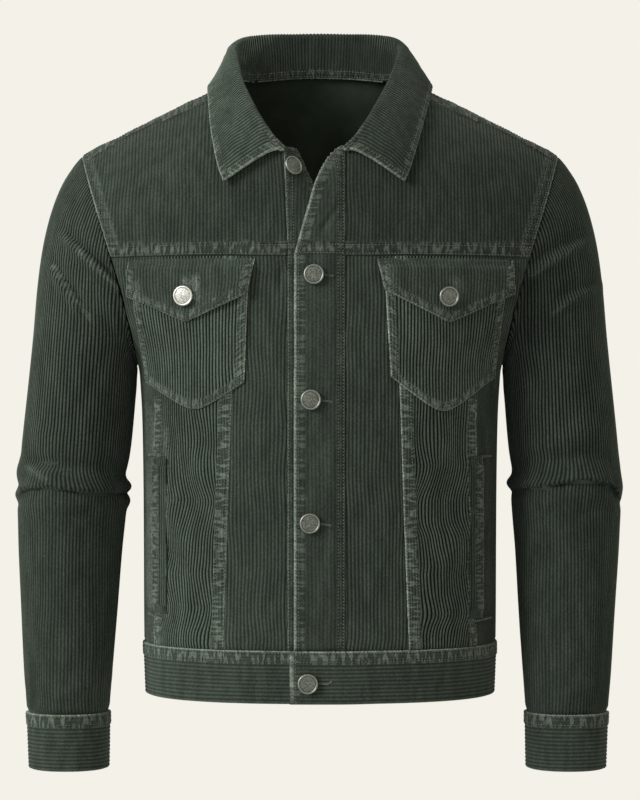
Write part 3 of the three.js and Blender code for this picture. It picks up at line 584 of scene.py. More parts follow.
class Cloth:
    """A sheet of corduroy, given by where each point of its cut lies.

    A point of the cut has a length across the wales, in millimetres, and a share from its low edge, 0,
    to its top edge, 1. limits gives the lengths of the left and right edges at a share.
    """

    def __init__(self, name, place, limits, height, facing, **options):
        self.name = name
        self.place = place
        self.limits = limits
        self.height = height
        self.facing = facing
        self.pitch = options.get("pitch", WALE["body"])
        self.thickness = options.get("thickness", CLOTH)
        self.lift = options.get("lift", lambda length, share: 0.0)
        self.edges = options.get("edges", {})
        self.folds = options.get("folds", lambda points: 0.0)
        self.waver = options.get("waver", lambda length, share: 0.0)
        self.seed = options.get("seed", 1)
        self.nodes = options.get("nodes", [name])
        self.held = options.get("held", "stretched")
        self.rests_on = options.get("rests_on", ())
        self.inner_look = options.get("inner_look", "reverse")
        self.extra = options.get("extra", lambda length, share: ())
        # The tone, partly painted light, the wales' contrast and depth, the pale lines of wear and painted
        # highlight, the slope of painted side light, how clear the wales are, and where painted shade falls.
        self.wash = options.get("wash", 1.0)
        self.contrast = options.get("contrast", 0.5)
        self.groove = options.get("groove", GROOVE_DEPTH)
        self.rubbed = options.get("rubbed", ())
        self.fade = options.get("fade", PAINTED_LIGHT_SLOPE)
        self.clear = options.get("clear", lambda points: 1.0)
        self.shaded = options.get("shaded", lambda points: 0.0)

    def normals(self, length, share):
        low, high = self.limits(share)
        step = 0.4
        rise = step / self.height(length)
        across = self.place(np.minimum(length + step, high), share) - self.place(
            np.maximum(length - step, low), share
        )
        up = self.place(length, np.minimum(share + rise, 1)) - self.place(length, np.maximum(share - rise, 0))
        return unit(np.cross(across, up)) * self.facing

    def margins(self, length, share):
        """The distance from each edge."""
        low, high = self.limits(share)
        height = self.height(length)
        return {
            "left": length - low,
            "right": high - length,
            "low": share * height,
            "top": (1 - share) * height,
        }

    def seams(self, length, share):
        """Each edge or seam: its kind, its distance, the place along it, and if the cloth ends there."""
        height = self.height(length)
        margins = self.margins(length, share)
        for side, margin in margins.items():
            run = share * height if side in ("left", "right") else length
            yield self.edges.get(side, "plain"), margin, run, True
        for kind, margin, run, _ in self.extra(length, share):
            yield kind, np.where(margin < 0, FAR, margin), run, False

    def finish_of(self, length, share):
        """The rise of the edges' bands, their masks, and the place along the nearest edge."""
        shape = np.broadcast(length, share).shape
        rise, band, sunk = np.zeros(shape), np.zeros(shape), np.zeros(shape)
        rounding, run = np.ones(shape), np.zeros(shape)
        near, worn = np.full(shape, FAR), np.full(shape, FAR)
        for name, margin, place, ends in self.seams(length, share):
            kind = EDGES[name]
            inside = 1 - smooth(kind["width"] - 1.0, kind["width"] + 1.2, margin)
            rise = np.where(np.abs(kind["rise"] * inside) > np.abs(rise), kind["rise"] * inside, rise)
            for row in kind["rows"]:
                sunk = np.maximum(sunk, bump(margin - row, 0.8))
            if ends:
                over = clamp(margin / kind["round"])
                rounding = np.minimum(rounding, np.sqrt(np.maximum(1 - (1 - over) ** 2, 0)))
            band = np.maximum(band, inside * kind["pucker"])
            closer = (margin < near) & (kind["width"] > 1)
            near = np.where(closer, margin, near)
            run = np.where(closer, place, run)
            if kind["worn"] > 0:
                worn = np.minimum(worn, margin / kind["worn"])
        return {"rise": rise, "band": band, "sunk": sunk, "round": rounding, "edge": worn, "run": run}

    def skin(self, length, share, phase):
        """The outer face and what its material reads there."""
        points = self.place(length, share)
        normals = self.normals(length, share)
        finish = self.finish_of(length, share)
        groove = (0.5 + 0.5 * np.cos(2 * math.pi * phase)) ** 2
        relief = -self.groove * groove * (1 - 0.55 * finish["band"])
        pucker = noise(finish["run"] / 3.6, finish["edge"] / 14, self.seed) * 0.32 * finish["band"]
        height = self.thickness + relief + finish["rise"] + pucker - 0.42 * finish["sunk"]
        height = height * finish["round"] + self.lift(length, share) + self.folds(points)
        return points + normals * height[..., None], normals, finish

    def inside(self, length, share):
        points = self.place(length, share)
        height = self.lift(length, share) + self.folds(points)
        return points + self.normals(length, share) * np.broadcast_to(height, points.shape[:-1])[..., None]

    def wale_lengths(self):
        """The lengths of the grooves and ridges, over the widest part of the cut."""
        low, high = self.limits(np.linspace(0, 1, 200))
        reach = 3 * WAVER
        first = math.floor((low.min() - reach) / self.pitch)
        last = math.ceil((high.max() + reach) / self.pitch)
        phases = (np.arange(first, last + 1)[:, None] + GROOVE_PLACES).ravel()
        return phases * self.pitch, phases


def trim(faces):
    """Drops faces that have lost a corner."""
    a, b, c = faces.T
    return faces[(a != b) & (b != c) & (c != a)]


def zip_faces(a, a_share, b, b_share):
    """Triangles that join two rows of points, each with its shares from 0 to 1."""
    faces = []
    i = j = 0
    while i < len(a) - 1 or j < len(b) - 1:
        if j == len(b) - 1 or (i < len(a) - 1 and a_share[i + 1] <= b_share[j + 1]):
            faces.append((a[i], a[i + 1], b[j]))
            i += 1
        else:
            faces.append((a[i], b[j + 1], b[j]))
            j += 1
    return np.array(faces)


def grid_faces(index):
    """Two triangles for each cell of a grid of point numbers."""
    a, b = index[:-1, :-1], index[:-1, 1:]
    c, d = index[1:, 1:], index[1:, :-1]
    return np.concatenate([np.stack([a, b, c], -1).reshape(-1, 3), np.stack([a, c, d], -1).reshape(-1, 3)])


def make_object(name, points, faces, looks, look_of_face=None, attributes=None):
    """A mesh object from arrays, in millimetres, with named values at its points."""
    used, faces = np.unique(faces, return_inverse=True)
    faces = faces.reshape(-1, 3).astype(np.int32)
    mesh = bpy.data.meshes.new(name)
    mesh.vertices.add(len(used))
    mesh.vertices.foreach_set("co", (points[used] * MM).astype(np.float32).ravel())
    mesh.loops.add(faces.size)
    mesh.loops.foreach_set("vertex_index", faces.ravel())
    mesh.polygons.add(len(faces))
    mesh.polygons.foreach_set("loop_start", np.arange(0, faces.size, 3, dtype=np.int32))
    mesh.polygons.foreach_set("loop_total", np.full(len(faces), 3, dtype=np.int32))
    mesh.polygons.foreach_set("use_smooth", np.ones(len(faces), dtype=bool))
    for look in looks:
        mesh.materials.append(look)
    if look_of_face is not None:
        mesh.polygons.foreach_set("material_index", look_of_face.astype(np.int32))
    for key, values in (attributes or {}).items():
        layer = mesh.attributes.new(key, "FLOAT", "POINT")
        layer.data.foreach_set("value", np.asarray(values, np.float32)[used])
    mesh.update(calc_edges=True)
    mesh.validate()
    thing = bpy.data.objects.new(name, mesh)
    bpy.context.collection.objects.link(thing)
    return thing


def sew(cloth, rows, inner_columns=24, inner_rows=24):
    """Builds a cloth's closed shell: a fine outer face, a coarse inner one, and the rims between."""
    lengths, phases = cloth.wale_lengths()
    share = np.asarray(rows)[:, None]
    low, high = cloth.limits(share)
    moved = lengths + cloth.waver(lengths, share)
    near = 0.12 * cloth.pitch
    at_left, at_right = moved <= low + near, moved >= high - near
    at_left[:, 0] = True
    at_right[:, -1] = True
    length = np.where(at_left, low, np.where(at_right, high, moved))
    phase = np.broadcast_to(phases, length.shape).copy()
    phase = phase + np.where(at_left | at_right, (length - moved) / cloth.pitch, 0)
    share = np.broadcast_to(share, length.shape)
    outer, _, finish = cloth.skin(length, share, phase)

    row_count, column_count = length.shape
    index = np.arange(row_count * column_count).reshape(row_count, column_count)
    index = np.where(at_left, index[:, :1], np.where(at_right, index[:, -1:], index))
    outer_faces = grid_faces(index)

    inner_up = np.linspace(0, 1, inner_rows)
    inner_share = inner_up[:, None]
    inner_low, inner_high = cloth.limits(inner_share)
    inner_across = np.linspace(0, 1, inner_columns)
    inner_length = lerp(inner_low, inner_high, inner_across)
    inner_share = np.broadcast_to(inner_share, inner_length.shape)
    inner = cloth.inside(inner_length, inner_share)
    inner_index = index.size + np.arange(inner_length.size).reshape(inner_length.shape)
    inner_faces = grid_faces(inner_index)[:, ::-1]

    rims = []
    for row, inner_row, flip in ((0, 0, True), (-1, -1, False)):
        chain, first = np.unique(index[row], return_index=True)
        here = length[row][first]
        chain_share = (here - here[0]) / (here[-1] - here[0])
        faces = zip_faces(chain, chain_share, inner_index[inner_row], inner_across)
        rims.append(faces[:, ::-1] if flip else faces)
    for column, flip in ((0, False), (-1, True)):
        faces = zip_faces(index[:, column], np.asarray(rows), inner_index[:, column], inner_up)
        rims.append(faces[:, ::-1] if flip else faces)

    outer_faces, rim_faces = trim(outer_faces), trim(np.concatenate(rims))
    faces = np.concatenate([outer_faces, rim_faces, inner_faces])
    looks = np.zeros(len(faces))
    looks[len(outer_faces) + len(rim_faces):] = 1
    points = np.concatenate([outer.reshape(-1, 3), inner.reshape(-1, 3)])
    finish["wale"] = phase
    inner_finish = cloth.finish_of(inner_length, inner_share)
    inner_finish["wale"] = inner_length / cloth.pitch
    attributes = surface_values(cloth, points, finish, inner_finish)
    if cloth.facing < 0:
        faces = faces[:, ::-1]
    inner_look = CORDUROY if cloth.inner_look == "corduroy" else REVERSE
    thing = make_object(cloth.name + "_cloth", points, faces, [CORDUROY, inner_look], looks, attributes)
    width, tall, area = cut_of(cloth)
    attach(thing, "root")
    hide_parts(*cloth.nodes)
    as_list(cloth.rests_on)
    return thing


def surface_values(cloth, points, outer, inner):
    """What the materials read at each point, on the outer face and then on the inner one."""
    values = {}
    for name in ("wale", "run", "edge"):
        values[name] = np.concatenate([outer[name].ravel(), inner[name].ravel()])
    for name in ("band", "sunk"):
        values[name] = np.concatenate([outer[name].ravel(), np.zeros(inner[name].size)])
    shaded = cloth.shaded(points)
    # Painted side light: lighter towards the wearer's right, darker towards the left.
    painted_side_light = 1 - cloth.fade * np.clip(points[:, 0] / PAINTED_LIGHT_REACH, -1, 1)
    contrast = np.full(len(points), cloth.contrast) * cloth.clear(points)
    values["wear_and_highlight"] = wear_and_highlight_share(cloth.rubbed, points)
    # The tone, with painted side light and painted shade; painted shade also flattens the wales.
    values["wash"] = cloth.wash * painted_side_light * (1 - SHADED["wash"] * shaded)
    values["contrast"] = contrast * (1 - SHADED["contrast"] * shaded)
    return values


def wear_and_highlight_share(lines, points):
    """How much the cloth's front is painted pale along each of its pale lines, by rubbed wear and by painted
    highlight.
    """
    wear_and_highlight = np.zeros(len(points))
    for x, z, to_x, to_z, width, strength in lines:
        _, aside = beside(points, x, z, to_x, to_z, within=True)
        wear_and_highlight = np.maximum(wear_and_highlight, strength * bump(aside, width) * (points[:, 1] < 0))
    return wear_and_highlight


def cut_of(cloth):
    """The width, length and area of the flat cut: those of the cloth's own surface, without its folds."""
    share = np.linspace(0, 1, 80)[:, None]
    low, high = cloth.limits(share)
    length = lerp(low, high, np.linspace(0, 1, 80))
    points = cloth.place(length, np.broadcast_to(share, length.shape))
    across, up = np.diff(points, axis=1), np.diff(points, axis=0)
    width = float(np.linalg.norm(across, axis=-1).sum(1).max())
    tall = float(np.linalg.norm(up, axis=-1).sum(0).max())
    area = float(np.linalg.norm(np.cross(across[:-1], up[:, :-1]), axis=-1).sum())
    return width * MM, tall * MM, min(area, width * tall) * MM * MM


def row_shares(height, spacing, ends=(), fine=1.3, reach=12.0, dense=()):
    """Rows of a cloth, closer together near the ends that are named and over the dense stretches."""
    places = [0.0]
    while places[-1] < height - 0.5 * fine:
        here = places[-1]
        close = ("low" in ends and here < reach) or ("top" in ends and height - here < reach + spacing)
        step = fine if close else spacing
        for start, end, gap in dense:
            if start < here < end:
                step = min(step, gap)
        places.append(here + step)
    return np.array(places) / places[-1]


# Materials.


class Nodes:
    """Adds nodes to a material, each from its inputs by name or number."""

    def __init__(self, name):
        self.material = bpy.data.materials.new(name)
        self.material.use_nodes = True
        self.tree = self.material.node_tree
        self.shader = self.tree.nodes["Principled BSDF"]

    def add(self, kind, output=0, inputs=(), **settings):
        made = self.tree.nodes.new("ShaderNode" + kind)
        for key, value in settings.items():
            setattr(made, key, value)
        for key, value in dict(inputs).items():
            if isinstance(value, bpy.types.NodeSocket):
                self.tree.links.new(value, made.inputs[key])
            else:
                made.inputs[key].default_value = value
        return made.outputs[output]

    def value(self, name):
        return self.add("Attribute", "Fac", attribute_name=name)

    def math(self, operation, a, b=0.0, c=0.0):
        return self.add("Math", 0, {0: a, 1: b, 2: c}, operation=operation)

    def between(self, value, low, high, to_low=0.0, to_high=1.0, curve="SMOOTHSTEP"):
        inputs = {"Value": value, "From Min": low, "From Max": high, "To Min": to_low, "To Max": to_high}
        return self.add("MapRange", "Result", inputs, interpolation_type=curve)

    def mix(self, factor, a, b):
        made = self.tree.nodes.new("ShaderNodeMix")
        made.data_type = "RGBA"
        for key, value in ((0, factor), (6, a), (7, b)):
            if isinstance(value, bpy.types.NodeSocket):
                self.tree.links.new(value, made.inputs[key])
            else:
                made.inputs[key].default_value = value
        return made.outputs[2]

    def toned(self, colour, tone):
        """A colour made lighter or darker by a factor."""
        return self.add("VectorMath", 0, {0: colour, 3: tone}, operation="SCALE")

    def vector(self, x, y, z):
        return self.add("CombineXYZ", 0, {0: x, 1: y, 2: z})

    def scaled(self, scale):
        place = self.add("TexCoord", "Object")
        return self.add("Mapping", 0, {"Vector": place, "Scale": scale})

    def cloud(self, vector, scale=1.0, detail=2.0, roughness=0.5):
        inputs = {"Vector": vector, "Scale": scale, "Detail": detail, "Roughness": roughness}
        return self.add("TexNoise", "Fac", inputs)

    def set(self, **inputs):
        for key, value in inputs.items():
            socket = self.shader.inputs[key.replace("_", " ")]
            if isinstance(value, bpy.types.NodeSocket):
                self.tree.links.new(value, socket)
            else:
                socket.default_value = value


# The grooves' colour is the cloth's ground darkened with painted shade.
GROOVE_AND_SHADE_COLOUR = (0.0022, 0.0036, 0.0024, 1)
CREST_COLOUR = (0.0442, 0.0565, 0.0458, 1)
STRIP_COLOUR = (0.0219, 0.0293, 0.0228, 1)
WORN_COLOUR = (0.14, 0.167, 0.142, 1)
# Painted shade for the sunk rows of stitches.
STITCH_ROW_SHADE_COLOUR = (0.0055, 0.008, 0.0058, 1)
REVERSE_COLOUR = (0.025, 0.0335, 0.025)
THREAD_DARK = (0.06, 0.07, 0.057, 1)
THREAD_PALE = (0.2, 0.22, 0.19, 1)
METAL_COLOURS = {
    "antique_metal": ((0.055, 0.06, 0.053, 1), (0.2, 0.215, 0.19, 1)),
    "antique_metal_pale": ((0.24, 0.245, 0.225, 1), (0.58, 0.585, 0.54, 1)),
}


def corduroy_look():
    """Wales with pale worn crests over grooves darkened with painted shade, ladders of puckers along stitched
    bands, pale edges, rubbed spots and painted highlights along fold ridges, and painted shade along the
    stitch rows.
    """
    look = Nodes("corduroy")
    wale, run, edge = look.value("wale"), look.value("run"), look.value("edge")
    band, sunk, wear_and_highlight = look.value("band"), look.value("sunk"), look.value("wear_and_highlight")
    crest = look.math("MULTIPLY", look.math("COSINE", look.math("MULTIPLY", wale, 2 * math.pi)), -0.5)
    crest = look.math("MULTIPLY_ADD", crest, look.value("contrast"), 0.5)
    cloud = look.cloud(look.scaled((1, 1, 0.7)), 9, 3, 0.6)
    patch = look.cloud(look.scaled((1, 1, 0.25)), 130, 2, 0.5)
    fibre = look.cloud(look.scaled((1, 1, 0.35)), 1300, 2, 0.6)
    speck = look.cloud(look.scaled((1, 1, 1)), 520, 2, 0.6)
    # The tone mixes random patches with each piece's tone, which carries painted side light and painted
    # shade.
    tone = look.math("MULTIPLY", look.value("wash"), look.between(cloud, 0.3, 0.7, 0.88, 1.12))
    tone = look.math("MULTIPLY", tone, look.between(patch, 0.25, 0.75, 0.82, 1.18))
    tone = look.math("MULTIPLY", tone, look.between(fibre, 0.2, 0.8, 0.72, 1.28))
    tone = look.math("MULTIPLY", tone, look.between(speck, 0.25, 0.75, 0.84, 1.16))
    ladder = look.vector(look.math("DIVIDE", run, 2.7), look.math("DIVIDE", edge, 13.0), 3.1)
    rungs = look.cloud(ladder, 1.0, 0.0)
    rungs = look.math("MULTIPLY", look.between(rungs, 0.42, 0.62), band)
    rim = look.math("MULTIPLY", look.between(edge, 1.9, 0.5), look.between(speck, 0.32, 0.58, 0.35, 1.0))
    # Grooves darkened with painted shade, as strongly as the contrast value sets.
    ground = look.mix(crest, GROOVE_AND_SHADE_COLOUR, CREST_COLOUR)
    ground = look.mix(look.math("MULTIPLY", band, 0.6), ground, STRIP_COLOUR)
    worn = look.math("ADD", look.math("MULTIPLY", rim, 0.8), look.math("MULTIPLY", rungs, 0.34))
    # Pale lines: rubbed wear, and painted highlights along the sleeves' fold ridges.
    rubbed = look.math("MULTIPLY", wear_and_highlight, look.between(speck, 0.35, 0.6, 0.35, 1.0))
    worn = look.math("MINIMUM", look.math("ADD", worn, rubbed), 1.0)
    colour = look.mix(worn, ground, WORN_COLOUR)
    # Painted shade along the sunk rows of stitches.
    colour = look.mix(look.math("MULTIPLY", sunk, 0.55), colour, STITCH_ROW_SHADE_COLOUR)
    colour = look.toned(colour, tone)
    height = look.math("MULTIPLY_ADD", rungs, 0.9, look.math("MULTIPLY", fibre, 0.22))
    height = look.math("ADD", height, look.math("MULTIPLY", speck, 0.35))
    bumped = look.add("Bump", 0, {"Strength": 0.9, "Distance": 0.001, "Height": height})
    look.set(Base_Color=colour, Normal=bumped, Roughness=0.95)
    look.set(Specular_IOR_Level=0.0, Sheen_Weight=0.13, Sheen_Roughness=0.5, Sheen_Tint=(0.6, 0.68, 0.6, 1))
    return look.material


def reverse_look():
    """The corduroy's smooth wrong side: a plain dark weave."""
    look = Nodes("corduroy_reverse")
    cloud = look.cloud(look.scaled((1, 1, 1)), 22, 3, 0.55)
    weave = look.cloud(look.scaled((1, 1, 0.5)), 2200, 1, 0.5)
    tone = look.between(cloud, 0.3, 0.7, 0.8, 1.2)
    tone = look.math("MULTIPLY", tone, look.between(weave, 0.2, 0.8, 0.8, 1.2))
    colour = look.toned(REVERSE_COLOUR, tone)
    bumped = look.add("Bump", 0, {"Strength": 0.5, "Distance": 0.0004, "Height": weave})
    look.set(Base_Color=colour, Normal=bumped, Roughness=0.95, Specular_IOR_Level=0.0)
    return look.material


def thread_look():
    look = Nodes("sewing_thread")
    twist = look.cloud(look.scaled((1, 1, 1)), 1800, 1, 0.5)
    patch = look.cloud(look.scaled((1, 1, 1)), 160, 2, 0.5)
    pale = look.math("MULTIPLY", look.between(twist, 0.3, 0.7), look.between(patch, 0.3, 0.7, 0.3, 1.0))
    colour = look.mix(pale, THREAD_DARK, THREAD_PALE)
    bumped = look.add("Bump", 0, {"Strength": 0.6, "Distance": 0.0003, "Height": twist})
    look.set(Base_Color=colour, Normal=bumped, Roughness=0.8, Specular_IOR_Level=0.2)
    return look.material


def metal_look(name, dark, bright):
    """Antique metal, dark in its recesses and rubbed bright on what stands proud."""
    look = Nodes(name)
    proud = look.value("proud")
    grain = look.cloud(look.scaled((1, 1, 1)), 900, 3, 0.65)
    rubbed = look.math("MULTIPLY", look.between(proud, 0.15, 0.8), look.between(grain, 0.3, 0.6, 0.55, 1.0))
    bumped = look.add("Bump", 0, {"Strength": 0.35, "Distance": 0.0002, "Height": grain})
    look.set(Base_Color=look.mix(rubbed, dark, bright), Normal=bumped, Metallic=1.0)
    look.set(Roughness=look.between(grain, 0.2, 0.8, 0.34, 0.56))
    return look.material


CORDUROY = corduroy_look()
REVERSE = reverse_look()
THREAD = thread_look()
METAL, PALE_METAL = (metal_look(name, *colours) for name, colours in METAL_COLOURS.items())


def wavering(amount, spread=WAVER_SPREAD, length=WAVER_LENGTH, seed=3, tall=377.0):
    """Moves the wales sideways in slow waves."""

    def moved(across, share):
        near = smooth(0, 0.04, share) * smooth(0, 0.04, 1 - share)
        return amount * near * noise(across / spread + 20, share * tall / length, seed)

    return moved


# Body panels.


def level(share, low, top):
    """The height at a share of a panel that laps past both of its ends."""
    return lerp(low - SEAM_LAP, top + SEAM_LAP, share)


def panel(name, left, right, top, low=WAIST_SEAM_Z, behind=False, **options):
    """A panel between two seams that run down the body, lapped so that no light shows between."""

    def place(length, share):
        return body_at(length, level(share, low, top), behind)

    def limits(share):
        z = level(share, low, top)
        return length_at(left(z), z, behind) - SEAM_LAP, length_at(right(z), z, behind) + SEAM_LAP

    tall = top - low
    options.setdefault("waver", wavering(WAVER, tall=tall))
    return Cloth(name, place, limits, lambda length: tall, -1 if behind else 1, **options)


FRONT_FOLDS = {
    "front_right": (
        (-36, -171, -40, -200, -1.6, 3.2, False),
        (-52, -500, -82, -532, 1.6, 7, False),
        (-40, -480, -70, -528, -1.2, 6, False),
    ),
    "front_left": (
        (34, -470, 60, -520, -1.2, 7, False),
        (70, -430, 40, -500, 1.0, 8, False),
    ),
    "side_front_right": (
        (-150, -330, -110, -420, -1.8, 9, False),
        (-156, -380, -118, -470, 1.6, 9, False),
        (-150, -440, -112, -500, -1.6, 8, False),
        (-130, -520, -120, -470, 1.7, 6, False),
        (-113, -528, -108, -488, -1.3, 5, False),
        (-165, -300, -140, -345, -1.6, 8, False),
        (-169, -357, -156, -354, -1.8, 2.0, False),
        (-169, -505, -150, -512, -2.2, 2.2, False),
    ),
    "side_front_left": (
        (150, -330, 112, -400, -1.7, 9, False),
        (158, -385, 116, -462, 1.6, 9, False),
        (148, -445, 112, -505, -1.6, 8, False),
        (128, -525, 122, -475, 1.6, 6, False),
        (165, -300, 138, -340, -1.6, 8, False),
        (154, -357, 168, -356, -1.8, 2.0, False),
        (146, -513, 168, -511, -2.2, 2.2, False),
    ),
    "back_panel": (
        (-150, -300, -60, -360, -2.2, 12, True),
        (150, -310, 70, -380, -2.0, 12, True),
        (-140, -430, -40, -470, 2.0, 13, True),
        (140, -440, 50, -485, 2.0, 13, True),
        (-110, -500, -20, -515, -1.8, 9, True),
        (110, -505, 20, -520, -1.6, 9, True),
        (-90, -180, -100, -270, 1.8, 14, True),
        (95, -180, 108, -280, 1.8, 14, True),
    ),
    "placket_left": (
        (0, -141, 19, -112, -1.8, 3, False),
        (-20, -236, 4, -262, -0.9, 4, False),
        (-18, -340, 10, -366, -0.9, 5, False),
        (-16, -470, 14, -498, 0.9, 6, False),
        (-18, -505, 16, -528, -1.2, 5, False),
    ),
    "button_band_right": (),
    "yoke": (
        (-190, -75, -120, -110, -1.2, 12, False),
        (190, -75, 120, -112, -1.2, 12, False),
        (-150, -60, -100, -100, 1.0, 12, False),
        (150, -60, 100, -104, 1.0, 12, False),
    ),
}

# How far the folds push the side fronts' wales towards the wearer's left, down each piece.
SIDE_SHIFTS = {
    "left": columns(
        "z shift", (-315, 0), (-352, 1.8), (-363, 3.6), (-376, -1.8), (-390, -10.7), (-398, -14.0),
        (-417, -12.5), (-431, -3.6), (-444, 0), (-459, 1.8), (-468, 0), (-485, 3.6), (-499, 10.7),
        (-507, 12.5), (-520, 3.6), (-533, 0),
    ),
    "right": columns(
        "z shift", (-312, 0), (-342, 1.8), (-353, 1), (-371, 2), (-385, 5), (-395.5, 8), (-409, 6),
        (-423, 4), (-437, 3), (-447, 2), (-457, 0), (-468, -2), (-489, 2), (-500, 4.5), (-512, 2),
        (-523, -2), (-533, -4),
    ),
}
SIDE_PUSH = {"left": 0.62, "right": 1.0}


def pushed_wales(side, seed):
    drift = wavering(2.4, 20, 34, seed=seed)

    def moved(across, share):
        z = level(share, WAIST_SEAM_Z, YOKE_SEAM_Z)
        near = length_at(princess(side, z), z)
        far = length_at(armhole_x(z), z) * np.sign(near)
        aside = np.abs(across - near)
        window = smooth(2, 26, aside) * smooth(4, 60, np.abs(far - across))
        return SIDE_PUSH[side] * read(SIDE_SHIFTS[side], "z", "shift", z) * window + drift(across, share)

    return moved


def centre_front(side):
    right = side == "right"
    seam = (lambda z: princess("right", z)) if right else (lambda z: np.full_like(z, PLACKET_SEAM_X))
    far = (lambda z: np.full_like(z, BAND_SEAM_X)) if right else (lambda z: princess("left", z))
    name = f"front_{side}"
    edges = {"left": "tucked", "right": "tucked", "top": "tucked", "low": "tucked"}
    return panel(
        name, seam, far, YOKE_SEAM_Z, edges=edges, folds=creases(FRONT_FOLDS[name]), seed=5,
        waver=wavering(1.9, 30, 42, seed=4 if right else 6),
    )


def side_front(side):
    right = side == "right"
    near = (lambda z: -armhole_x(z)) if right else (lambda z: princess("left", z))
    far = (lambda z: princess("right", z)) if right else (lambda z: armhole_x(z))
    name = f"side_front_{side}"
    inner, outer = ("right", "left") if right else ("left", "right")
    edges = {inner: "felled", outer: "plain", "top": "tucked", "low": "tucked"}
    strip_x, shade = SIDE_STRIPS[side]["x"], SIDE_STRIPS[side]["shade"]

    def pocket_strip(length, share):
        z = level(share, WAIST_SEAM_Z, YOKE_SEAM_Z)
        margin = length_at(np.full_like(z, strip_x), z) - np.abs(length)
        yield "felled", np.where(z < STRIP_TOP_Z, margin, FAR), z - STRIP_TOP_Z, "length"

    # Painted shade on the side beyond the strip, below the strip's top.
    def shaded(points):
        beyond = smooth(strip_x, strip_x + 3, np.abs(points[:, 0]))
        return shade * beyond * smooth(STRIP_TOP_Z + 25, STRIP_TOP_Z, points[:, 2])

    def clear(points):
        """The rubbed side shows few wales."""
        return 1 - 0.7 * smooth(146, 154, np.abs(points[:, 0]))

    return panel(
        name, near, far, YOKE_SEAM_Z, edges=edges, folds=creases(FRONT_FOLDS[name]), extra=pocket_strip,
        rubbed=WORN_AND_HIGHLIGHT_LINES[f"side_{side}"], clear=clear, shaded=shaded, pitch=WALE["side"],
        waver=pushed_wales(side, 11 if right else 12), seed=7, contrast=1.15 if right else 1.4,
        wash=1.14 if right else 1.24, groove=0.95,
    )


def back_panel():
    def armhole_band(length, share):
        z = level(share, WAIST_SEAM_Z, BACK_YOKE_SEAM_Z)
        margin = (length_at(armhole_x(z), z, True) - np.abs(length)) * 0.93
        yield "felled", np.where(z > ARMPIT_Z, margin, FAR), z - ARMPIT_Z, "length"

    edges = {"left": "plain", "right": "plain", "top": "tucked", "low": "tucked"}
    folds = creases(FRONT_FOLDS["back_panel"])
    return panel(
        "back_panel", lambda z: -armhole_x(z), armhole_x, BACK_YOKE_SEAM_Z, behind=True, edges=edges,
        folds=folds, extra=armhole_band, waver=wavering(1.6, 40, 60, seed=14), seed=8,
    )


# Yokes: upright wales between the yoke seam or the armhole and the neck or the shoulder.

ARMHOLE_LEVELS = np.linspace(ARMPIT_Z, SHOULDER_TIP_Z, 300)
SHOULDER_SEAM_AT = {"tip": 35.0, "neck": 55.0}
YOKE_END_X = SHOULDER_TIP_X - 0.8


def armhole_z(x):
    return np.interp(np.abs(x), armhole_x(ARMHOLE_LEVELS), ARMHOLE_LEVELS)


def yoke_foot(x, seam_z):
    """The low edge of a yoke: its seam, then the armhole."""
    return np.where(np.abs(x) < armhole_x(seam_z), seam_z - SEAM_LAP, armhole_z(x))


def neck_curve(side):
    share = np.linspace(0, 1, 120)
    z = along(NECK_SEAM_FRONT, "z", share)
    x = along(NECK_SEAM_FRONT, "x", share) + side * neck_shift(z)
    return x[::-1], z[::-1]


def ridge_distance(x, z, behind):
    """The length down the cloth from the ridge, at a place across."""
    steps = np.linspace(0, 1, 40)
    levels = lerp(ridge(x)[..., None] - RIDGE_GAP, z[..., None], steps**2)
    y = body_y(np.broadcast_to(x[..., None], levels.shape), levels, behind)
    return np.hypot(np.diff(y, axis=-1), np.diff(levels, axis=-1)).sum(-1)


def front_yoke(side):
    name = "right" if side < 0 else "left"
    seam_x = BAND_SEAM_X if side < 0 else PLACKET_SEAM_X
    curve_x, curve_z = neck_curve(side)
    near = float(length_at(np.array(seam_x - side * SEAM_LAP), YOKE_SEAM_Z))
    far = float(length_at(np.array(side * YOKE_END_X), YOKE_SEAM_Z))

    def across(length):
        return body_at(length, YOKE_SEAM_Z)[..., 0]

    def span(length):
        x = across(length)
        low = yoke_foot(x, YOKE_SEAM_Z)
        top = np.where(np.abs(x) > NECK_POINT_X, ridge(x) - RIDGE_GAP, np.interp(side * x, curve_x, curve_z))
        return x, low, np.maximum(top, low + 0.4)

    def place(length, share):
        x, low, top = span(length)
        z = lerp(low, top, share)
        lean = front_seam(side, z) - seam_x
        x = x + lean * (1 - smooth(0, 45, np.abs(x - seam_x)))
        return body_point(x, np.minimum(z, ridge(x) - RIDGE_GAP))

    def limits(share):
        ends = sorted((near, far))
        return np.full_like(share, ends[0]), np.full_like(share, ends[1])

    def height(length):
        _, low, top = span(length)
        return top - low

    def bands(length, share):
        x, low, top = span(length)
        z = lerp(low, top, share)
        x, z = np.broadcast_arrays(x, z)
        yield "armhole", np.where(z < SHOULDER_TIP_Z, (armhole_x(z) - np.abs(x)) * 0.95, FAR), z, "length"
        yield "felled", z - YOKE_SEAM_Z, x, "share"
        distance = ridge_distance(x, z, False)
        at_shoulder = np.abs(x) > NECK_POINT_X - 4
        inwards = (SHOULDER_TIP_X - np.abs(x)) / (SHOULDER_TIP_X - NECK_POINT_X)
        seam_at = lerp(SHOULDER_SEAM_AT["tip"], SHOULDER_SEAM_AT["neck"], smooth(0.3, 0.85, inwards))
        yield "shoulder", np.where(at_shoulder, seam_at - distance, FAR), x, "share"

    inner = "right" if side < 0 else "left"
    # Painted light: the tone is set lower on the wearer's left yoke, the shaded side.
    return Cloth(
        f"yoke_front_{name}", place, limits, height, 1, extra=bands, edges={inner: "tucked", "top": "plain"},
        folds=creases(FRONT_FOLDS["yoke"]), waver=wavering(1.3, tall=140), seed=21, contrast=0.42,
        rubbed=WORN_AND_HIGHLIGHT_LINES[f"yoke_{name}"], wash=0.95 if side < 0 else 0.83,
    )


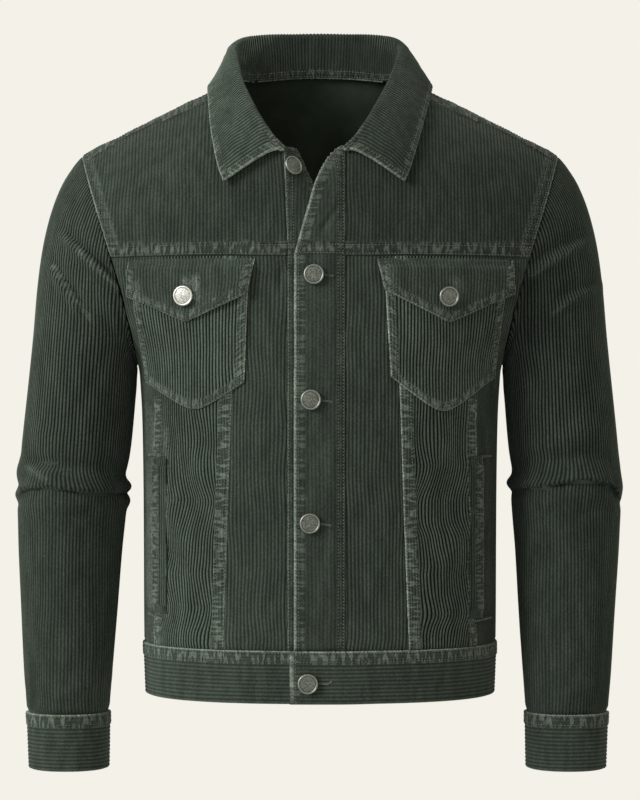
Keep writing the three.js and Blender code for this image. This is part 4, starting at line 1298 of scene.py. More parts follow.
def back_yoke():
    far = float(length_at(np.array(float(YOKE_END_X)), BACK_YOKE_SEAM_Z, True))

    def span(length):
        x = body_at(length, BACK_YOKE_SEAM_Z, True)[..., 0]
        low = yoke_foot(x, BACK_YOKE_SEAM_Z)
        return x, low, np.maximum(ridge(x) - RIDGE_GAP, low + 0.4)

    def place(length, share):
        x, low, top = span(length)
        z = lerp(low, top, share)
        return body_point(np.broadcast_to(x, z.shape), z, True)

    def limits(share):
        return np.full_like(share, -far), np.full_like(share, far)

    def height(length):
        _, low, top = span(length)
        return top - low

    def bands(length, share):
        x, low, top = span(length)
        x, z = np.broadcast_arrays(x, lerp(low, top, share))
        yield "felled", np.where(z < SHOULDER_TIP_Z, (armhole_x(z) - np.abs(x)) * 0.95, FAR), z, "length"
        yield "felled", z - BACK_YOKE_SEAM_Z, x, "share"

    return Cloth(
        "back_yoke", place, limits, height, -1, extra=bands, edges={"top": "plain"},
        waver=wavering(0.8, tall=150), seed=22,
    )


# Front bands.

BANDS = {
    "placket": {"side": 1, "edge": PLACKET_EDGE_X, "kinds": {"left": "piped", "right": "lined"}},
    "band": {"side": -1, "edge": BAND_EDGE_X, "kinds": {"left": "lined", "right": "folded"}},
}


def above_yoke_seam(name, z, below):
    """A column of the open edges' table above the yoke seam, and one value below it."""
    return np.where(z < YOKE_SEAM_Z, below, read(OPEN_EDGES, "z", name, z))


def band_ends(name, z):
    """Where a front band starts at its seam, and where its free edge lies."""
    side = BANDS[name]["side"]
    return front_seam(side, z) - side * SEAM_GAP / 2, above_yoke_seam(name, z, BANDS[name]["edge"])


def band_point(name, x, z):
    seam, edge = band_ends(name, z)
    share = clamp((x - seam) / (edge - seam))
    point = body_point(x, z)
    point[..., 1] += above_yoke_seam(name + "Roll", z, 0.0) * share ** ROLL_POWER[name]
    return point


def front_band(name, node):
    low, top = WAIST_SEAM_Z + SEAM_GAP / 2, OPEN_TOP_Z

    def place(length, share):
        z = lerp(low, top, share)
        length, z = np.broadcast_arrays(length, z)
        return band_point(name, length, z)

    def limits(share):
        fixed, free = band_ends(name, lerp(low, top, share))
        return (free, fixed) if name == "placket" else (fixed, free)

    def lift(length, share):
        if name != "placket":
            return 0.0
        fixed, free = band_ends(name, lerp(low, top, share))
        return (DOUBLE_CLOTH + LAYER_GAP) * smooth(0.02, 0.3, (length - fixed) / (free - fixed))

    edges = {"top": "tucked", "low": "tucked", **BANDS[name]["kinds"]}

    def yoke_band(length, share):
        z = lerp(low, top, share) - YOKE_SEAM_Z
        length, z = np.broadcast_arrays(length, z)
        yield "felled", z, length, "share"

    return Cloth(
        node, place, limits, lambda length: top - low, 1, thickness=DOUBLE_CLOTH, lift=lift, edges=edges,
        inner_look="corduroy", waver=wavering(0.6, tall=480, seed=31), seed=31, extra=yoke_band,
        folds=creases(FRONT_FOLDS[node]), contrast=0.22, groove=0.5,
    )


# Waistband and cuffs: their wales run round.


def girth_of(place, tall, count):
    """The length round a band, along its middle."""
    ring = place(np.array([[tall / 2]]), np.linspace(0, 1, count)[:, None])[:, 0]
    return float(np.linalg.norm(np.diff(ring, axis=0), axis=1).sum())


def waistband():
    def end(x):
        return (abs(x) / float(half(HEM_Z))) ** (SECTION_POWER / 2)

    start, finish = end(BAND_EDGE_X), -2 * math.pi - end(WAISTBAND_LEFT_END_X)
    tall = WAIST_SEAM_Z - SEAM_GAP / 2 - HEM_Z

    def place(length, share):
        angle, z = np.broadcast_arrays(lerp(start, finish, share), HEM_Z + length)
        back = np.cos(angle) <= 0
        depth = np.where(back, read(BODY_SECTIONS, "z", "back", z), read(BODY_SECTIONS, "z", "front", z))
        x = half(z) * signed_power(np.sin(angle), 2 / SECTION_POWER)
        return stack(x, -depth * signed_power(np.cos(angle), 2 / SECTION_POWER), z)

    def limits(share):
        return np.zeros_like(share), np.full_like(share, tall)

    def lift(length, share):
        """The left end rises over the right one."""
        past_middle = lerp(start, finish, share) + 2 * math.pi
        return (DOUBLE_CLOTH + LAYER_GAP) * smooth(*OVERLAP_RAMP, past_middle)

    girth = girth_of(place, tall, 2000)
    return Cloth(
        "waistband", place, limits, lambda length: girth, 1, thickness=DOUBLE_CLOTH, lift=lift,
        pitch=WALE["band"], edges={"left": "hem", "right": "felled", "low": "tucked", "top": "piped"},
        inner_look="corduroy", waver=wavering(0.5, 20, 60, 41, tall=girth), seed=41, contrast=0.4, wash=1.08,
    ), girth


def ring_point(ring, share):
    angle = 2 * math.pi * share
    across = (1 + signed_power(np.cos(angle), 2 / SLEEVE_POWER)) / 2
    x = lerp(ring["inX"], ring["outX"], across)
    z = lerp(ring["inZ"], ring["outZ"], across)
    return stack(x, ring["midY"] - ring["depth"] * signed_power(np.sin(angle), 2 / SLEEVE_POWER), z)


def cuff(name):
    setting = SLEEVE_SIDES[name]
    sign = setting["sign"]
    last = row_of(SLEEVE_RINGS, -1)
    tall = CUFF_TOP_Z - CUFF_HEM_Z

    def place(length, share):
        length, share = np.broadcast_arrays(length, share)
        squeeze = CUFF_TAPER * (1 - length / tall)
        z = CUFF_HEM_Z + length
        ring = dict(last, outX=last["outX"] - squeeze, outZ=z, inX=last["inX"] + squeeze * 0.4, inZ=z)
        point = ring_point(ring, share + 0.5)
        point[..., 0] = sign * (point[..., 0] + setting["swing"])
        return point

    def limits(share):
        return np.zeros_like(share), np.full_like(share, tall)

    girth = girth_of(place, tall, 800)

    def lap(length, share):
        """The cuff's opening, at the back of the wrist."""
        share, length = np.broadcast_arrays(share, length)
        yield "folded", (share - 0.145) * girth, length, "share"

    return Cloth(
        f"cuff_{name}", place, limits, lambda length: girth, sign, thickness=DOUBLE_CLOTH, pitch=WALE["band"],
        edges={"left": "hem", "right": "felled"}, extra=lap, inner_look="corduroy",
        waver=wavering(0.4, 20, 40, 42, tall=girth), seed=42 + sign, contrast=0.4, wash=1.05,
    ), girth


# Sleeves.


def armhole_loop(share):
    behind = share > 0.5
    t = np.where(behind, 2 - 2 * share, 2 * share)
    z = lerp(SHOULDER_TIP_Z, ARMPIT_Z, (1 - np.cos(math.pi * t)) / 2)
    x = armhole_x(z)
    level_z = np.minimum(z, ridge(x) - RIDGE_GAP)
    return stack(x, np.where(behind, body_y(x, level_z, True), body_y(x, level_z)), z)


SLEEVE_FOLDS = {
    "right": (
        (256, -137, 195, -193, 4.8, 3.8, False),
        (268, -164, 229, -221, 4.2, 3.8, False),
        (282, -358, 222, -373, -2.2, 5.5, False),
        (286, -368, 238, -378, 1.4, 4.5, False),
        (283, -330, 205, -352, 1.6, 8, False),
        (296, -352, 240, -368, -1.6, 6, False),
        (200, -395, 250, -420, -1.5, 7, False),
        (290, -402, 240, -430, 1.3, 7, False),
        (214, -460, 262, -500, -1.0, 9, False),
        (286, -520, 232, -545, 0.9, 9, False),
        (210, -572, 262, -590, 1.2, 6, False),
        (288, -585, 240, -600, -1.1, 5, False),
        (205, -255, 250, -330, -1.8, 10, False),
        (282, -330, 215, -350, 1.8, 9, True),
        (290, -395, 220, -425, -1.8, 8, True),
        (215, -470, 280, -500, 1.2, 10, True),
        (270, -160, 215, -260, -2.2, 11, True),
        (280, -560, 225, -588, 1.2, 7, True),
    ),
    "left": (
        (264, -143, 202, -178, 3.4, 4.2, False),
        (278, -186, 224, -215, 3.0, 4.2, False),
        (280, -325, 200, -350, 1.6, 8, False),
        (205, -350, 262, -366, -1.5, 6, False),
        (286, -398, 232, -424, -1.5, 7, False),
        (200, -408, 250, -436, 1.2, 7, False),
        (276, -465, 222, -505, -1.0, 9, False),
        (206, -525, 262, -548, 0.9, 9, False),
        (272, -574, 222, -592, 1.2, 6, False),
        (205, -262, 245, -335, -1.6, 10, False),
        (282, -330, 215, -350, 1.8, 9, True),
        (285, -395, 215, -425, -1.8, 8, True),
        (210, -470, 270, -500, 1.2, 10, True),
        (270, -160, 215, -260, -2.2, 11, True),
        (275, -560, 220, -588, 1.2, 7, True),
    ),
}


def elbow_fold(setting, turn, x, z):
    """The cloth above the elbow's crease hangs over the cloth below it."""
    gap = z - read(setting["elbow"], "x", "z", x)
    over = 5.2 * np.exp(-np.maximum(gap, 0) / 12) - 2.6 * bump(gap - 24, 8)
    under = -3.6 * np.exp(np.minimum(gap, 0) / 5) + 2.0 * bump(gap + 15, 8)
    face = lerp(under, over, smooth(-1.2, 1.2, gap))
    outer = sum(height * bump(gap - place, width) for place, width, height in setting["outerEdge"])
    inner = sum(height * bump(gap - place, width) for place, width, height in setting["innerEdge"])
    return lerp(face, np.where(np.cos(turn) > 0, outer, inner), np.abs(np.cos(turn)) ** 4)


def sleeve_point(setting, share, place, creased=True):
    """A point of the sleeve's inner face, on the wearer's left or mirrored to the right."""
    share, place = np.broadcast_arrays(share, place)
    ring = {column: along(SLEEVE_RINGS, column, place) for column in SLEEVE_RINGS}
    first = row_of(SLEEVE_RINGS, 0)
    point = ring_point(ring, share)
    own = armhole_loop(share % 1) - ring_point(first, share)
    point = point + own * np.maximum(ring["loop"], 0)[..., None]
    turn = 2 * math.pi * share
    if creased:
        centre = stack((ring["outX"] + ring["inX"]) / 2, ring["midY"], (ring["outZ"] + ring["inZ"]) / 2)
        drape = np.zeros(share.shape)
        for x, z, to_x, to_z, depth, width in zip(*setting["drapes"].values()):
            part, aside = beside(point, x, z, to_x, to_z)
            drape += depth * bump(aside, width) * smooth(-0.1, 0.25, part) * (1 - smooth(0.7, 1.1, part))
        drape *= smooth(0, 0.3, np.sin(turn))
        fold = elbow_fold(setting, turn, point[..., 0], point[..., 2])
        point = point + unit(point - centre) * (fold - drape)[..., None]
    near = 1 - smooth(0, 0.12, place)
    wrapped = share % 1
    underarm = smooth(0.14, 0.34, np.minimum(wrapped, 1 - wrapped))
    point[..., 0] += setting["swing"] * smooth(-284, -606, point[..., 2])
    point = point + unit(UNDERARM_HEART - point) * ((CLOTH + 4 * SEAM_GAP) * underarm * near)[..., None]
    point[..., 0] += 2 * SEAM_GAP * near
    point[..., 0] *= setting["sign"]
    return point


# Where the sleeve is measured round each ring and down its length.
RING_SHARES = np.linspace(-0.5, 0.5, 321)
RING_SPANS = np.arange(-280.0, 280.5, 1.0)
SLEEVE_PLACES = np.linspace(0, 1, 481)
SLEEVE_MIDDLE_Z = -330.0
ELBOW_Z = -390.0


def sleeve(name):
    """A sleeve whose wales keep their distance from its outer line, from the armhole down to the cuff."""
    setting = SLEEVE_SIDES[name]
    sign = setting["sign"]
    smooth_sleeve = sleeve_point(setting, RING_SHARES[:, None], SLEEVE_PLACES[None, :], False)
    heights = smooth_sleeve[..., 2]
    low, top = float(heights[:, -1].max()), float(heights[:, 0].max())
    levels = np.linspace(low, top, 551)
    places = np.array([np.interp(levels, row[::-1], SLEEVE_PLACES[::-1]) for row in heights])
    sections = sleeve_point(setting, RING_SHARES[:, None], places, False)
    steps = np.linalg.norm(np.diff(sections, axis=0), axis=-1)
    lengths = np.concatenate([np.zeros((1, len(levels))), np.cumsum(steps, axis=0)]).T
    middle = len(RING_SHARES) // 2
    front_middle = middle + len(RING_SHARES) // 4
    lengths = lengths - lengths[:, middle][:, None]
    turns = np.array([np.interp(RING_SPANS, row, RING_SHARES) for row in lengths])
    edge_heights = heights[:, 0]
    edge_lengths = look_up(lengths, levels, edge_heights, RING_SHARES, RING_SHARES)
    edge_lengths[middle:] = np.maximum.accumulate(edge_lengths[middle:])
    edge_lengths[:middle] = np.minimum.accumulate(edge_lengths[:middle][::-1])[::-1]
    underarm_z = float(edge_heights[[0, -1]].mean())

    def level_of(share, top_z):
        return np.where(
            share < 0.5,
            lerp(low, SLEEVE_MIDDLE_Z, 2 * share),
            lerp(SLEEVE_MIDDLE_Z, top_z, 2 * share - 1),
        )

    def place(length, share):
        length, share = np.broadcast_arrays(length, share)
        z = level_of(share, np.interp(length, edge_lengths, edge_heights))
        ring_share = look_up(turns, levels, z, RING_SPANS, length)
        at = look_up(places, RING_SHARES, ring_share, levels, z)
        end = smooth(0.985, 1.0, share)
        ring_share = lerp(ring_share, np.interp(length, edge_lengths, RING_SHARES), end)
        return sleeve_point(setting, ring_share, np.maximum(at, 0) * (1 - end))

    def limits(share):
        z = level_of(share, underarm_z)
        return np.interp(z, levels, lengths[:, 0]) + 0.15, np.interp(z, levels, lengths[:, -1]) - 0.15

    def height(length):
        return 2 * (np.interp(length, edge_lengths, edge_heights) - SLEEVE_MIDDLE_Z)

    def folds(points):
        mirrored = points * np.array([sign, 1, 1])
        return creases(SLEEVE_FOLDS[name])(mirrored)

    drift = wavering(1.2, 30, 60, 51 + sign, tall=550)

    def fanned(length, share):
        """Over the elbow's crease the wales spread apart, and below it they hang upright."""
        points = place(length, share)
        gap = points[..., 2] - read(setting["elbow"], "x", "z", np.abs(points[..., 0]))
        over = np.where(gap > 0, np.exp(-np.maximum(gap, 0) / 15), 0.45 * np.exp(np.minimum(gap, 0) / 7))
        spread = -7.5 * np.sin(2 * math.pi * clamp(np.abs(length) / 172)) * np.sign(length)
        front = np.interp(np.minimum(points[..., 2], ELBOW_Z), levels, lengths[:, front_middle])
        at_elbow = np.interp(ELBOW_Z, levels, lengths[:, front_middle])
        upright = (front - at_elbow) * smooth(0, 75, np.abs(length))
        return spread * over + drift(length, share) + upright * np.sign(length)

    def clear(points):
        """The wales show most on the upper sleeve."""
        return np.interp(points[..., 2], (-560, -400, -370, -330), (0.42, 0.6, 0.8, 1.0))

    # Painted light: its pale lines are painted highlights along its drape folds, and its tone is set lower on
    # the wearer's left, the shaded side.
    return Cloth(
        f"sleeve_{name}", place, limits, height, -sign, folds=folds, contrast=1.0, clear=clear,
        edges={"top": "tucked", "low": "tucked", "left": "plain", "right": "plain"}, pitch=WALE["sleeve"],
        waver=fanned, seed=51, held="hung", wash=0.88 if sign < 0 else 0.82, rubbed=WORN_AND_HIGHLIGHT_LINES[f"sleeve_{name}"],
    )


# Collar, measured along its seam and across from the stand to the leaf.

COLLAR_PLACES = np.linspace(0, 1, 161)
COLLAR_SHARES = np.linspace(0, 1, 121)


def collar_seam(place):
    seam_x = along(COLLAR_STATIONS, "seamX", place)
    seam_z = along(COLLAR_STATIONS, "seamZ", place)
    inside = COLLAR_CLOTH / 2 + SEAM_GAP * 2.8
    behind = body_point(seam_x, np.minimum(seam_z, ridge(seam_x) - RIDGE_GAP), True)
    inwards = unit(stack(-behind[..., 0], -behind[..., 1] * 1.4, np.zeros(place.shape)))
    behind = behind + inwards * inside + np.array([0, 0, inside * 0.3])
    behind[..., 2] -= STAND_FOOT_DROP * smooth(COLLAR_SIDE, 0.25, place)
    tilt = (place - COLLAR_SIDE) / (1 - COLLAR_SIDE)
    x = seam_x - inside * np.cos(tilt)
    front = body_point(x, np.minimum(seam_z + inside * np.sin(tilt), ridge(x) - RIDGE_GAP))
    return np.where((place < COLLAR_SIDE)[..., None], behind, front)


def collar_point(u, v):
    """The collar's middle surface: up the stand, over a rounded fold and down the leaf."""
    u, v = np.broadcast_arrays(u, v)
    place = np.abs(2 * u - 1)
    side = np.where(u < 0.5, -1.0, 1.0)
    get = {column: along(COLLAR_STATIONS, column, place) for column in COLLAR_STATIONS}
    seam = collar_seam(place)
    lean = hermite(np.linspace(0, 1, len(FOLD_LEAN)), FOLD_LEAN, place) * (side < 0)
    fold = stack(get["foldX"] + lean, get["foldY"], get["foldZ"])
    edge = stack(get["edgeX"], get["edgeY"], get["edgeZ"])
    radius = get["round"][..., None]
    up = unit(unit(fold - seam) + unit(fold - edge))
    out = edge - seam
    out = unit(out - up * (out * up).sum(-1, keepdims=True))
    centre = fold - up * radius
    rise = (v / STAND_SHARE)[..., None]
    stand = lerp(seam, centre - out * radius, rise)
    fall = ((v - LEAF_SHARE) / (1 - LEAF_SHARE))[..., None]
    leaf = lerp(centre + out * radius, edge, fall)
    bulge = LEAF_BULGE * (1 - 0.4 * place) - 0.8 * lean
    leaf = leaf + out * np.sin(math.pi * clamp(fall)) * bulge[..., None]
    arch = np.sin(math.pi * clamp(fall[..., 0]) ** FRONT_ARCH["power"]) * smooth(FRONT_ARCH["from"], 1, place)
    leaf[..., 2] += FRONT_ARCH["height"] * arch
    angle = (math.pi * (v - STAND_SHARE) / (LEAF_SHARE - STAND_SHARE))[..., None]
    bend = centre - out * radius * np.cos(angle) + up * radius * np.sin(angle)
    v = v[..., None]
    point = np.where(v < STAND_SHARE, stand, np.where(v > LEAF_SHARE, leaf, bend))
    point[..., 0] = side * point[..., 0] + neck_shift(get["seamZ"])
    return point


def collar_waver(run):
    """Slow waves, and wales set wider at the sides of the neck than in front and behind."""
    drift = wavering(1.5, 26, 30, 61, tall=130)
    half_run = float(run[-1])

    def moved(across, share):
        part = np.abs(across) / half_run
        spread = 11 * smooth(0.18, 0.6, part) * (1 - smooth(0.62, 1.0, part))
        return np.sign(across) * spread + drift(across, share)

    return moved


def collar():
    grid = collar_point(COLLAR_PLACES[:, None], COLLAR_SHARES[None, :])
    steps = np.linalg.norm(np.diff(grid, axis=1), axis=-1)
    depth = np.concatenate([np.zeros((len(COLLAR_PLACES), 1)), np.cumsum(steps, axis=1)], axis=1)
    heights = depth[:, -1]
    turns = np.array([np.interp(COLLAR_SHARES * row[-1], row, COLLAR_SHARES) for row in depth])
    middle = collar_point(COLLAR_PLACES, np.full(COLLAR_PLACES.shape, 0.75))
    run = run_of(middle)
    run -= run[-1] / 2

    def place(length, share):
        u = np.interp(length, run, COLLAR_PLACES)
        u, share = np.broadcast_arrays(u, share)
        return collar_point(u, look_up(turns, COLLAR_PLACES, u, COLLAR_SHARES, share))

    def limits(share):
        return np.full_like(share, run[0]), np.full_like(share, run[-1])

    def height(length):
        return np.interp(length, run, heights)

    def foot_band(length, share):
        """The stitched foot of the stand, along the neck seam."""
        yield "topstitched", share * height(length), length, "share"

    def shaded(points):
        """Painted shade: the stand, inside the fold, is painted dark and smooth."""
        x, y = points[..., 0], points[..., 1]
        return (1 - smooth(0.96, 1.02, np.hypot(x / 84, y / 73))) * smooth(0, 30, y)

    def clear(points):
        """The wales are faint near the points of the collar."""
        return 1 - 0.5 * smooth(-60, -100, points[..., 1])

    # The collar's tone is painted strongly lighter on the wearer's right than on its left: painted side
    # light.
    return Cloth(
        "collar", place, limits, height, 1, thickness=COLLAR_CLOTH, pitch=WALE["collar"],
        lift=lambda length, share: -COLLAR_CLOTH / 2, fade=0.75, shaded=shaded, clear=clear,
        edges={"top": "collar", "left": "collar", "right": "collar", "low": "plain"}, extra=foot_band,
        inner_look="corduroy", waver=collar_waver(run), seed=61, held="folded", contrast=1.05, wash=1.16,
        groove=1.0,
    )


# Chest pockets, flaps and side welts, laid on the fronts.


def laid_on(name, corners, top, lift, thickness, edges, seed, blunt, kick=0.0, **options):
    """A pocket or flap with a point below.

    blunt rounds the point off, and kick lifts the low edge beyond it.
    """
    tip_length = float(length_at(float(corners["tipX"]), float(corners["tipZ"])))

    def profile(length):
        x = body_at(length, corners["cornerZ"])[..., 0]
        share = clamp((x - corners["innerLow"]) / (corners["outerLow"] - corners["innerLow"]))
        tip = (corners["tipX"] - corners["innerLow"]) / (corners["outerLow"] - corners["innerLow"])
        aside = np.abs(np.where(share < tip, 1 - share / tip, (share - tip) / (1 - tip)))
        aside = (np.hypot(aside, blunt) - blunt) / (math.hypot(1, blunt) - blunt)
        return lerp(corners["cornerZ"], corners["tipZ"], 1 - aside)

    def place(length, share):
        return body_at(length, lerp(profile(length), top, share))

    def limits(share):
        side = clamp(1 - share)
        z = lerp(top, corners["cornerZ"], side)
        a = length_at(lerp(corners["inner"], corners["innerLow"], side), z)
        b = length_at(lerp(corners["outer"], corners["outerLow"], side), z)
        return np.minimum(a, b), np.maximum(a, b)

    def raised(length, share):
        tall = top - profile(length)
        lifted = kick * smooth(tip_length + 2, tip_length + 22, length) * (1 - smooth(0, 24, share * tall))
        return lerp(LAYER_GAP + CLOTH, lift, smooth(0, 11, (1 - share) * tall)) + lifted

    return Cloth(
        name, place, limits, lambda length: top - profile(length), 1, thickness=thickness,
        lift=raised, edges=edges, pitch=WALE["pocket"], held="laid",
        inner_look="corduroy", waver=wavering(0.9, 22, 26, seed, tall=110), seed=seed, **options,
    )


def welt(side):
    spot = WELTS[side]
    ends = sorted((spot["inner"], spot["outer"]))

    def level_of(share):
        return lerp(spot["lowZ"], spot["topZ"], share)

    def place(length, share):
        return body_at(length, level_of(share))

    def limits(share):
        z = level_of(share)
        return length_at(np.full_like(z, ends[0]), z), length_at(np.full_like(z, ends[1]), z)

    edges = {"left": "plain", "right": "plain", "low": "seated", "top": "seated"}
    edges["left" if side == "right" else "right"] = "felled"
    return Cloth(
        f"welt_{side}", place, limits, lambda length: spot["topZ"] - spot["lowZ"], 1, pitch=WALE["pocket"],
        lift=lambda length, share: POCKET_LIFT, edges=edges, held="laid", waver=wavering(0.5, seed=71),
        seed=71, inner_look="corduroy", contrast=0.7, wash=1.0,
    )


# Stitches: short raised threads in rows along the bands.

STITCH_SIDES = 5


def stitch_shape():
    """One stitch along +X: two points and two rings between them."""
    around = np.linspace(0, 2 * math.pi, STITCH_SIDES, endpoint=False)
    ring = np.stack([np.zeros(STITCH_SIDES), np.cos(around), np.sin(around)], -1) * STITCH["radius"]
    reach = STITCH["length"] / 2
    a = ring + np.array([-0.55 * reach, 0, 0])
    b = ring + np.array([0.55 * reach, 0, 0])
    points = np.concatenate([[[-reach, 0, -0.35]], a, b, [[reach, 0, -0.35]]])
    faces = []
    last = 2 * STITCH_SIDES + 1
    for i in range(STITCH_SIDES):
        j = (i + 1) % STITCH_SIDES
        a0, a1, b0, b1 = 1 + i, 1 + j, 1 + STITCH_SIDES + i, 1 + STITCH_SIDES + j
        faces += [(0, a1, a0), (a0, a1, b1), (a0, b1, b0), (b0, b1, last)]
    return points, np.array(faces)


def lay_stitches(points, normals, pitch=STITCH["pitch"]):
    """Centres and axes of the stitches along a line on the cloth."""
    run = run_of(points)
    at = np.arange(pitch / 2, run[-1], pitch)
    if len(at) == 0:
        return np.zeros((0, 4, 3))
    centre = np.stack([np.interp(at, run, points[:, k]) for k in range(3)], -1)
    ahead = np.stack([np.interp(at + 0.5, run, points[:, k]) for k in range(3)], -1)
    back = np.stack([np.interp(at - 0.5, run, points[:, k]) for k in range(3)], -1)
    normal = unit(np.stack([np.interp(at, run, normals[:, k]) for k in range(3)], -1))
    forward = unit(ahead - back)
    return np.stack([centre, forward, unit(np.cross(normal, forward)), normal], axis=1)


def cloth_line(cloth, length, share):
    """Points and normals on a cloth's outer face, between its wales' crests and grooves."""
    length, share = np.broadcast_arrays(np.asarray(length, float), np.asarray(share, float))
    points, normals, _ = cloth.skin(length[None, :], share[None, :], np.full((1, len(length)), 0.35))
    return points[0], normals[0]


def edge_stitches(cloth):
    """The rows along each of a cloth's finished edges."""
    rows = []
    dense = np.linspace(0, 1, 400)
    for side, kind in cloth.edges.items():
        for row in EDGES[kind]["rows"]:
            if side in ("left", "right"):
                low, high = cloth.limits(dense)
                length = low + row if side == "left" else high - row
                rows.append(cloth_line(cloth, length, dense))
            else:
                share = 0.0 if side == "low" else 1.0
                low, high = cloth.limits(np.array([share]))
                length = lerp(low[0] + 1.5, high[0] - 1.5, dense)
                height = np.broadcast_to(cloth.height(length), length.shape)
                part = row / height
                rows.append(cloth_line(cloth, length, part if side == "low" else 1 - part))
    return [lay_stitches(*row) for row in rows]


def seam_stitches(cloth):
    """The rows beside the seams that lie inside a cloth's edges."""
    share = np.linspace(SCAN["inset"], 1 - SCAN["inset"], SCAN["rows"])[:, None]
    low, high = cloth.limits(share)
    length = lerp(low, high, np.linspace(SCAN["inset"], 1 - SCAN["inset"], SCAN["columns"]))
    share = np.broadcast_to(share, length.shape)
    made = []
    for kind, margin, _, scan in cloth.extra(length, share):
        margin = np.broadcast_to(margin, length.shape)
        grids = [margin, length, share] if scan == "length" else [margin.T, length.T, share.T]
        for row in EDGES[kind]["rows"]:
            gap = grids[0] - row
            crossed = (gap[:, :-1] * gap[:, 1:] < 0) & (np.abs(gap[:, :-1] - gap[:, 1:]) < 12)
            for half_of in (slice(0, SCAN["columns"] // 2), slice(SCAN["columns"] // 2, None)):
                part = crossed[:, half_of]
                lines = np.flatnonzero(part.any(axis=1))
                if len(lines) < 4:
                    continue
                cell = part[lines].argmax(axis=1) + half_of.start
                share_of = gap[lines, cell] / (gap[lines, cell] - gap[lines, cell + 1])
                place = [lerp(grid[lines, cell], grid[lines, cell + 1], share_of) for grid in grids[1:]]
                for run in np.split(np.arange(len(lines)), np.flatnonzero(np.diff(lines) > 2) + 1):
                    if len(run) > 3:
                        made.append(lay_stitches(*cloth_line(cloth, place[0][run], place[1][run])))
    return made


def thread_mesh(name, stitches):
    """All the stitches as one mesh."""
    shape, shape_faces = stitch_shape()
    frames = np.concatenate(stitches)
    centre, axes = frames[:, 0], frames[:, 1:]
    points = centre[:, None, :] + np.einsum("pk,nkx->npx", shape, axes)
    points = points + axes[:, 2][:, None, :] * 0.12
    faces = shape_faces[None] + (np.arange(len(frames)) * len(shape))[:, None, None]
    thing = make_object(name, points.reshape(-1, 3), faces.reshape(-1, 3), [THREAD])
    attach(thing, "root")
    return thing


# Sewn lines of close stitches: the ends of the buttonholes and the bartacks of the side pockets.
THREAD_LINES = columns(
    "x z toX toZ height",
    (4.5, -181.5, 13.5, -182.6, 5.7),
    (1.8, -300.5, 11.0, -302.0, 5.7),
    (0.6, -417.5, 10.0, -419.0, 5.7),
    (-1.0, -569.0, 7.0, -570.0, 5.7),
    (7.0, -570.0, 12.0, -567.0, 5.7),
    (-166, -353.5, -157, -353.0, 2.6),
    (-166, -509.0, -152, -512.5, 2.6),
    (156, -355.0, 166, -354.5, 2.6),
    (148, -514.5, 166, -513.0, 2.6),
)
CLOSE_PITCH = 1.7


def thread_lines():
    """Each sewn line as two rows of close stitches, held above the body by its height."""
    made = []
    for x, z, to_x, to_z, height in zip(*THREAD_LINES.values()):
        share = np.linspace(0, 1, 24)
        for aside in (-0.55, 0.55):
            across, up = lerp(x, to_x, share), lerp(z, to_z, share) + aside
            normals = body_normal(across, up)
            made.append(lay_stitches(body_point(across, up) + normals * height, normals, CLOSE_PITCH))
    return made


# Buttons.

BUTTON_SIDES = 64
FACE_RINGS = 15


def button_shape(seed):
    """A shank button: a stem, a rolled rim and a recessed face with raised grains. Along +Z from its seat."""
    b = BUTTON
    top = b["stemHeight"] + b["head"]
    outline = [
        (0.0, 0.0),
        (b["stem"], 0.0),
        (b["stem"], b["stemHeight"]),
        (b["radius"] * 0.9, b["stemHeight"]),
    ]
    middle = b["radius"] - b["rim"]
    for angle in np.radians(np.linspace(-80, 170, 14)):
        height = b["stemHeight"] + b["head"] / 2 * (1 + math.sin(angle))
        outline.append((middle + b["rim"] * math.cos(angle), height))
    inner = middle - b["rim"] + 0.05
    for outwards in 1 - np.arange(FACE_RINGS) / FACE_RINGS:
        outline.append((inner * outwards, top - b["recess"] + b["dome"] * (1 - outwards**2)))
    radius, height = np.array(outline).T
    angle = np.linspace(0, 2 * math.pi, BUTTON_SIDES, endpoint=False)
    x = radius[:, None] * np.cos(angle)
    y = radius[:, None] * np.sin(angle)
    z = np.broadcast_to(height[:, None], x.shape).copy()
    on_face = np.arange(len(radius)) >= len(radius) - FACE_RINGS
    grain = noise(x / 0.7 + 30, y / 0.7 + 30, seed) + 0.8 * noise(x / 0.4 + 30, y / 0.4 + 30, seed + 1)
    z = z + np.where(on_face[:, None], 0.07 * grain, 0)
    proud = np.where(on_face[:, None], clamp(0.5 + 0.28 * grain), 0.9)
    proud = np.where(np.arange(len(radius))[:, None] < 5, 0.1, proud)
    points = np.stack([x, y, z], -1).reshape(-1, 3)
    index = np.arange(len(points)).reshape(len(radius), BUTTON_SIDES)
    index = np.concatenate([index, index[:, :1]], axis=1)
    faces = grid_faces(index)
    ring, centre = index[-1], np.full(BUTTON_SIDES, len(points))
    points = np.concatenate([points, [[0, 0, top - b["recess"] + b["dome"]]]])
    proud = np.append(proud.ravel(), 0.6)
    faces = np.concatenate([faces, np.stack([ring[:-1], ring[1:], centre], -1)])
    return points, faces, proud


def set_button(node, seat, normal, look, seed):
    points, faces, proud = button_shape(seed)
    side = unit(np.cross([0.0, 0.0, 1.0], normal))
    axes = np.stack([side, np.cross(normal, side), normal])
    placed = seat + normal * SEAM_GAP + points @ axes
    thing = make_object(node + "_shank", placed, faces, [look], attributes={"proud": proud})
    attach(thing, "root")
    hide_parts(node)
    return thing


def normal_of(surface, x, z, step):
    """The outward direction of a front surface, at a place across and a height."""
    across = surface(x + step, z) - surface(x - step, z)
    up = surface(x, z + step) - surface(x, z - step)
    return unit(np.cross(across, up))


def body_normal(x, z):
    return normal_of(body_point, x, z, 0.5)


def right_band_point(x, z):
    return band_point("band", x, z)


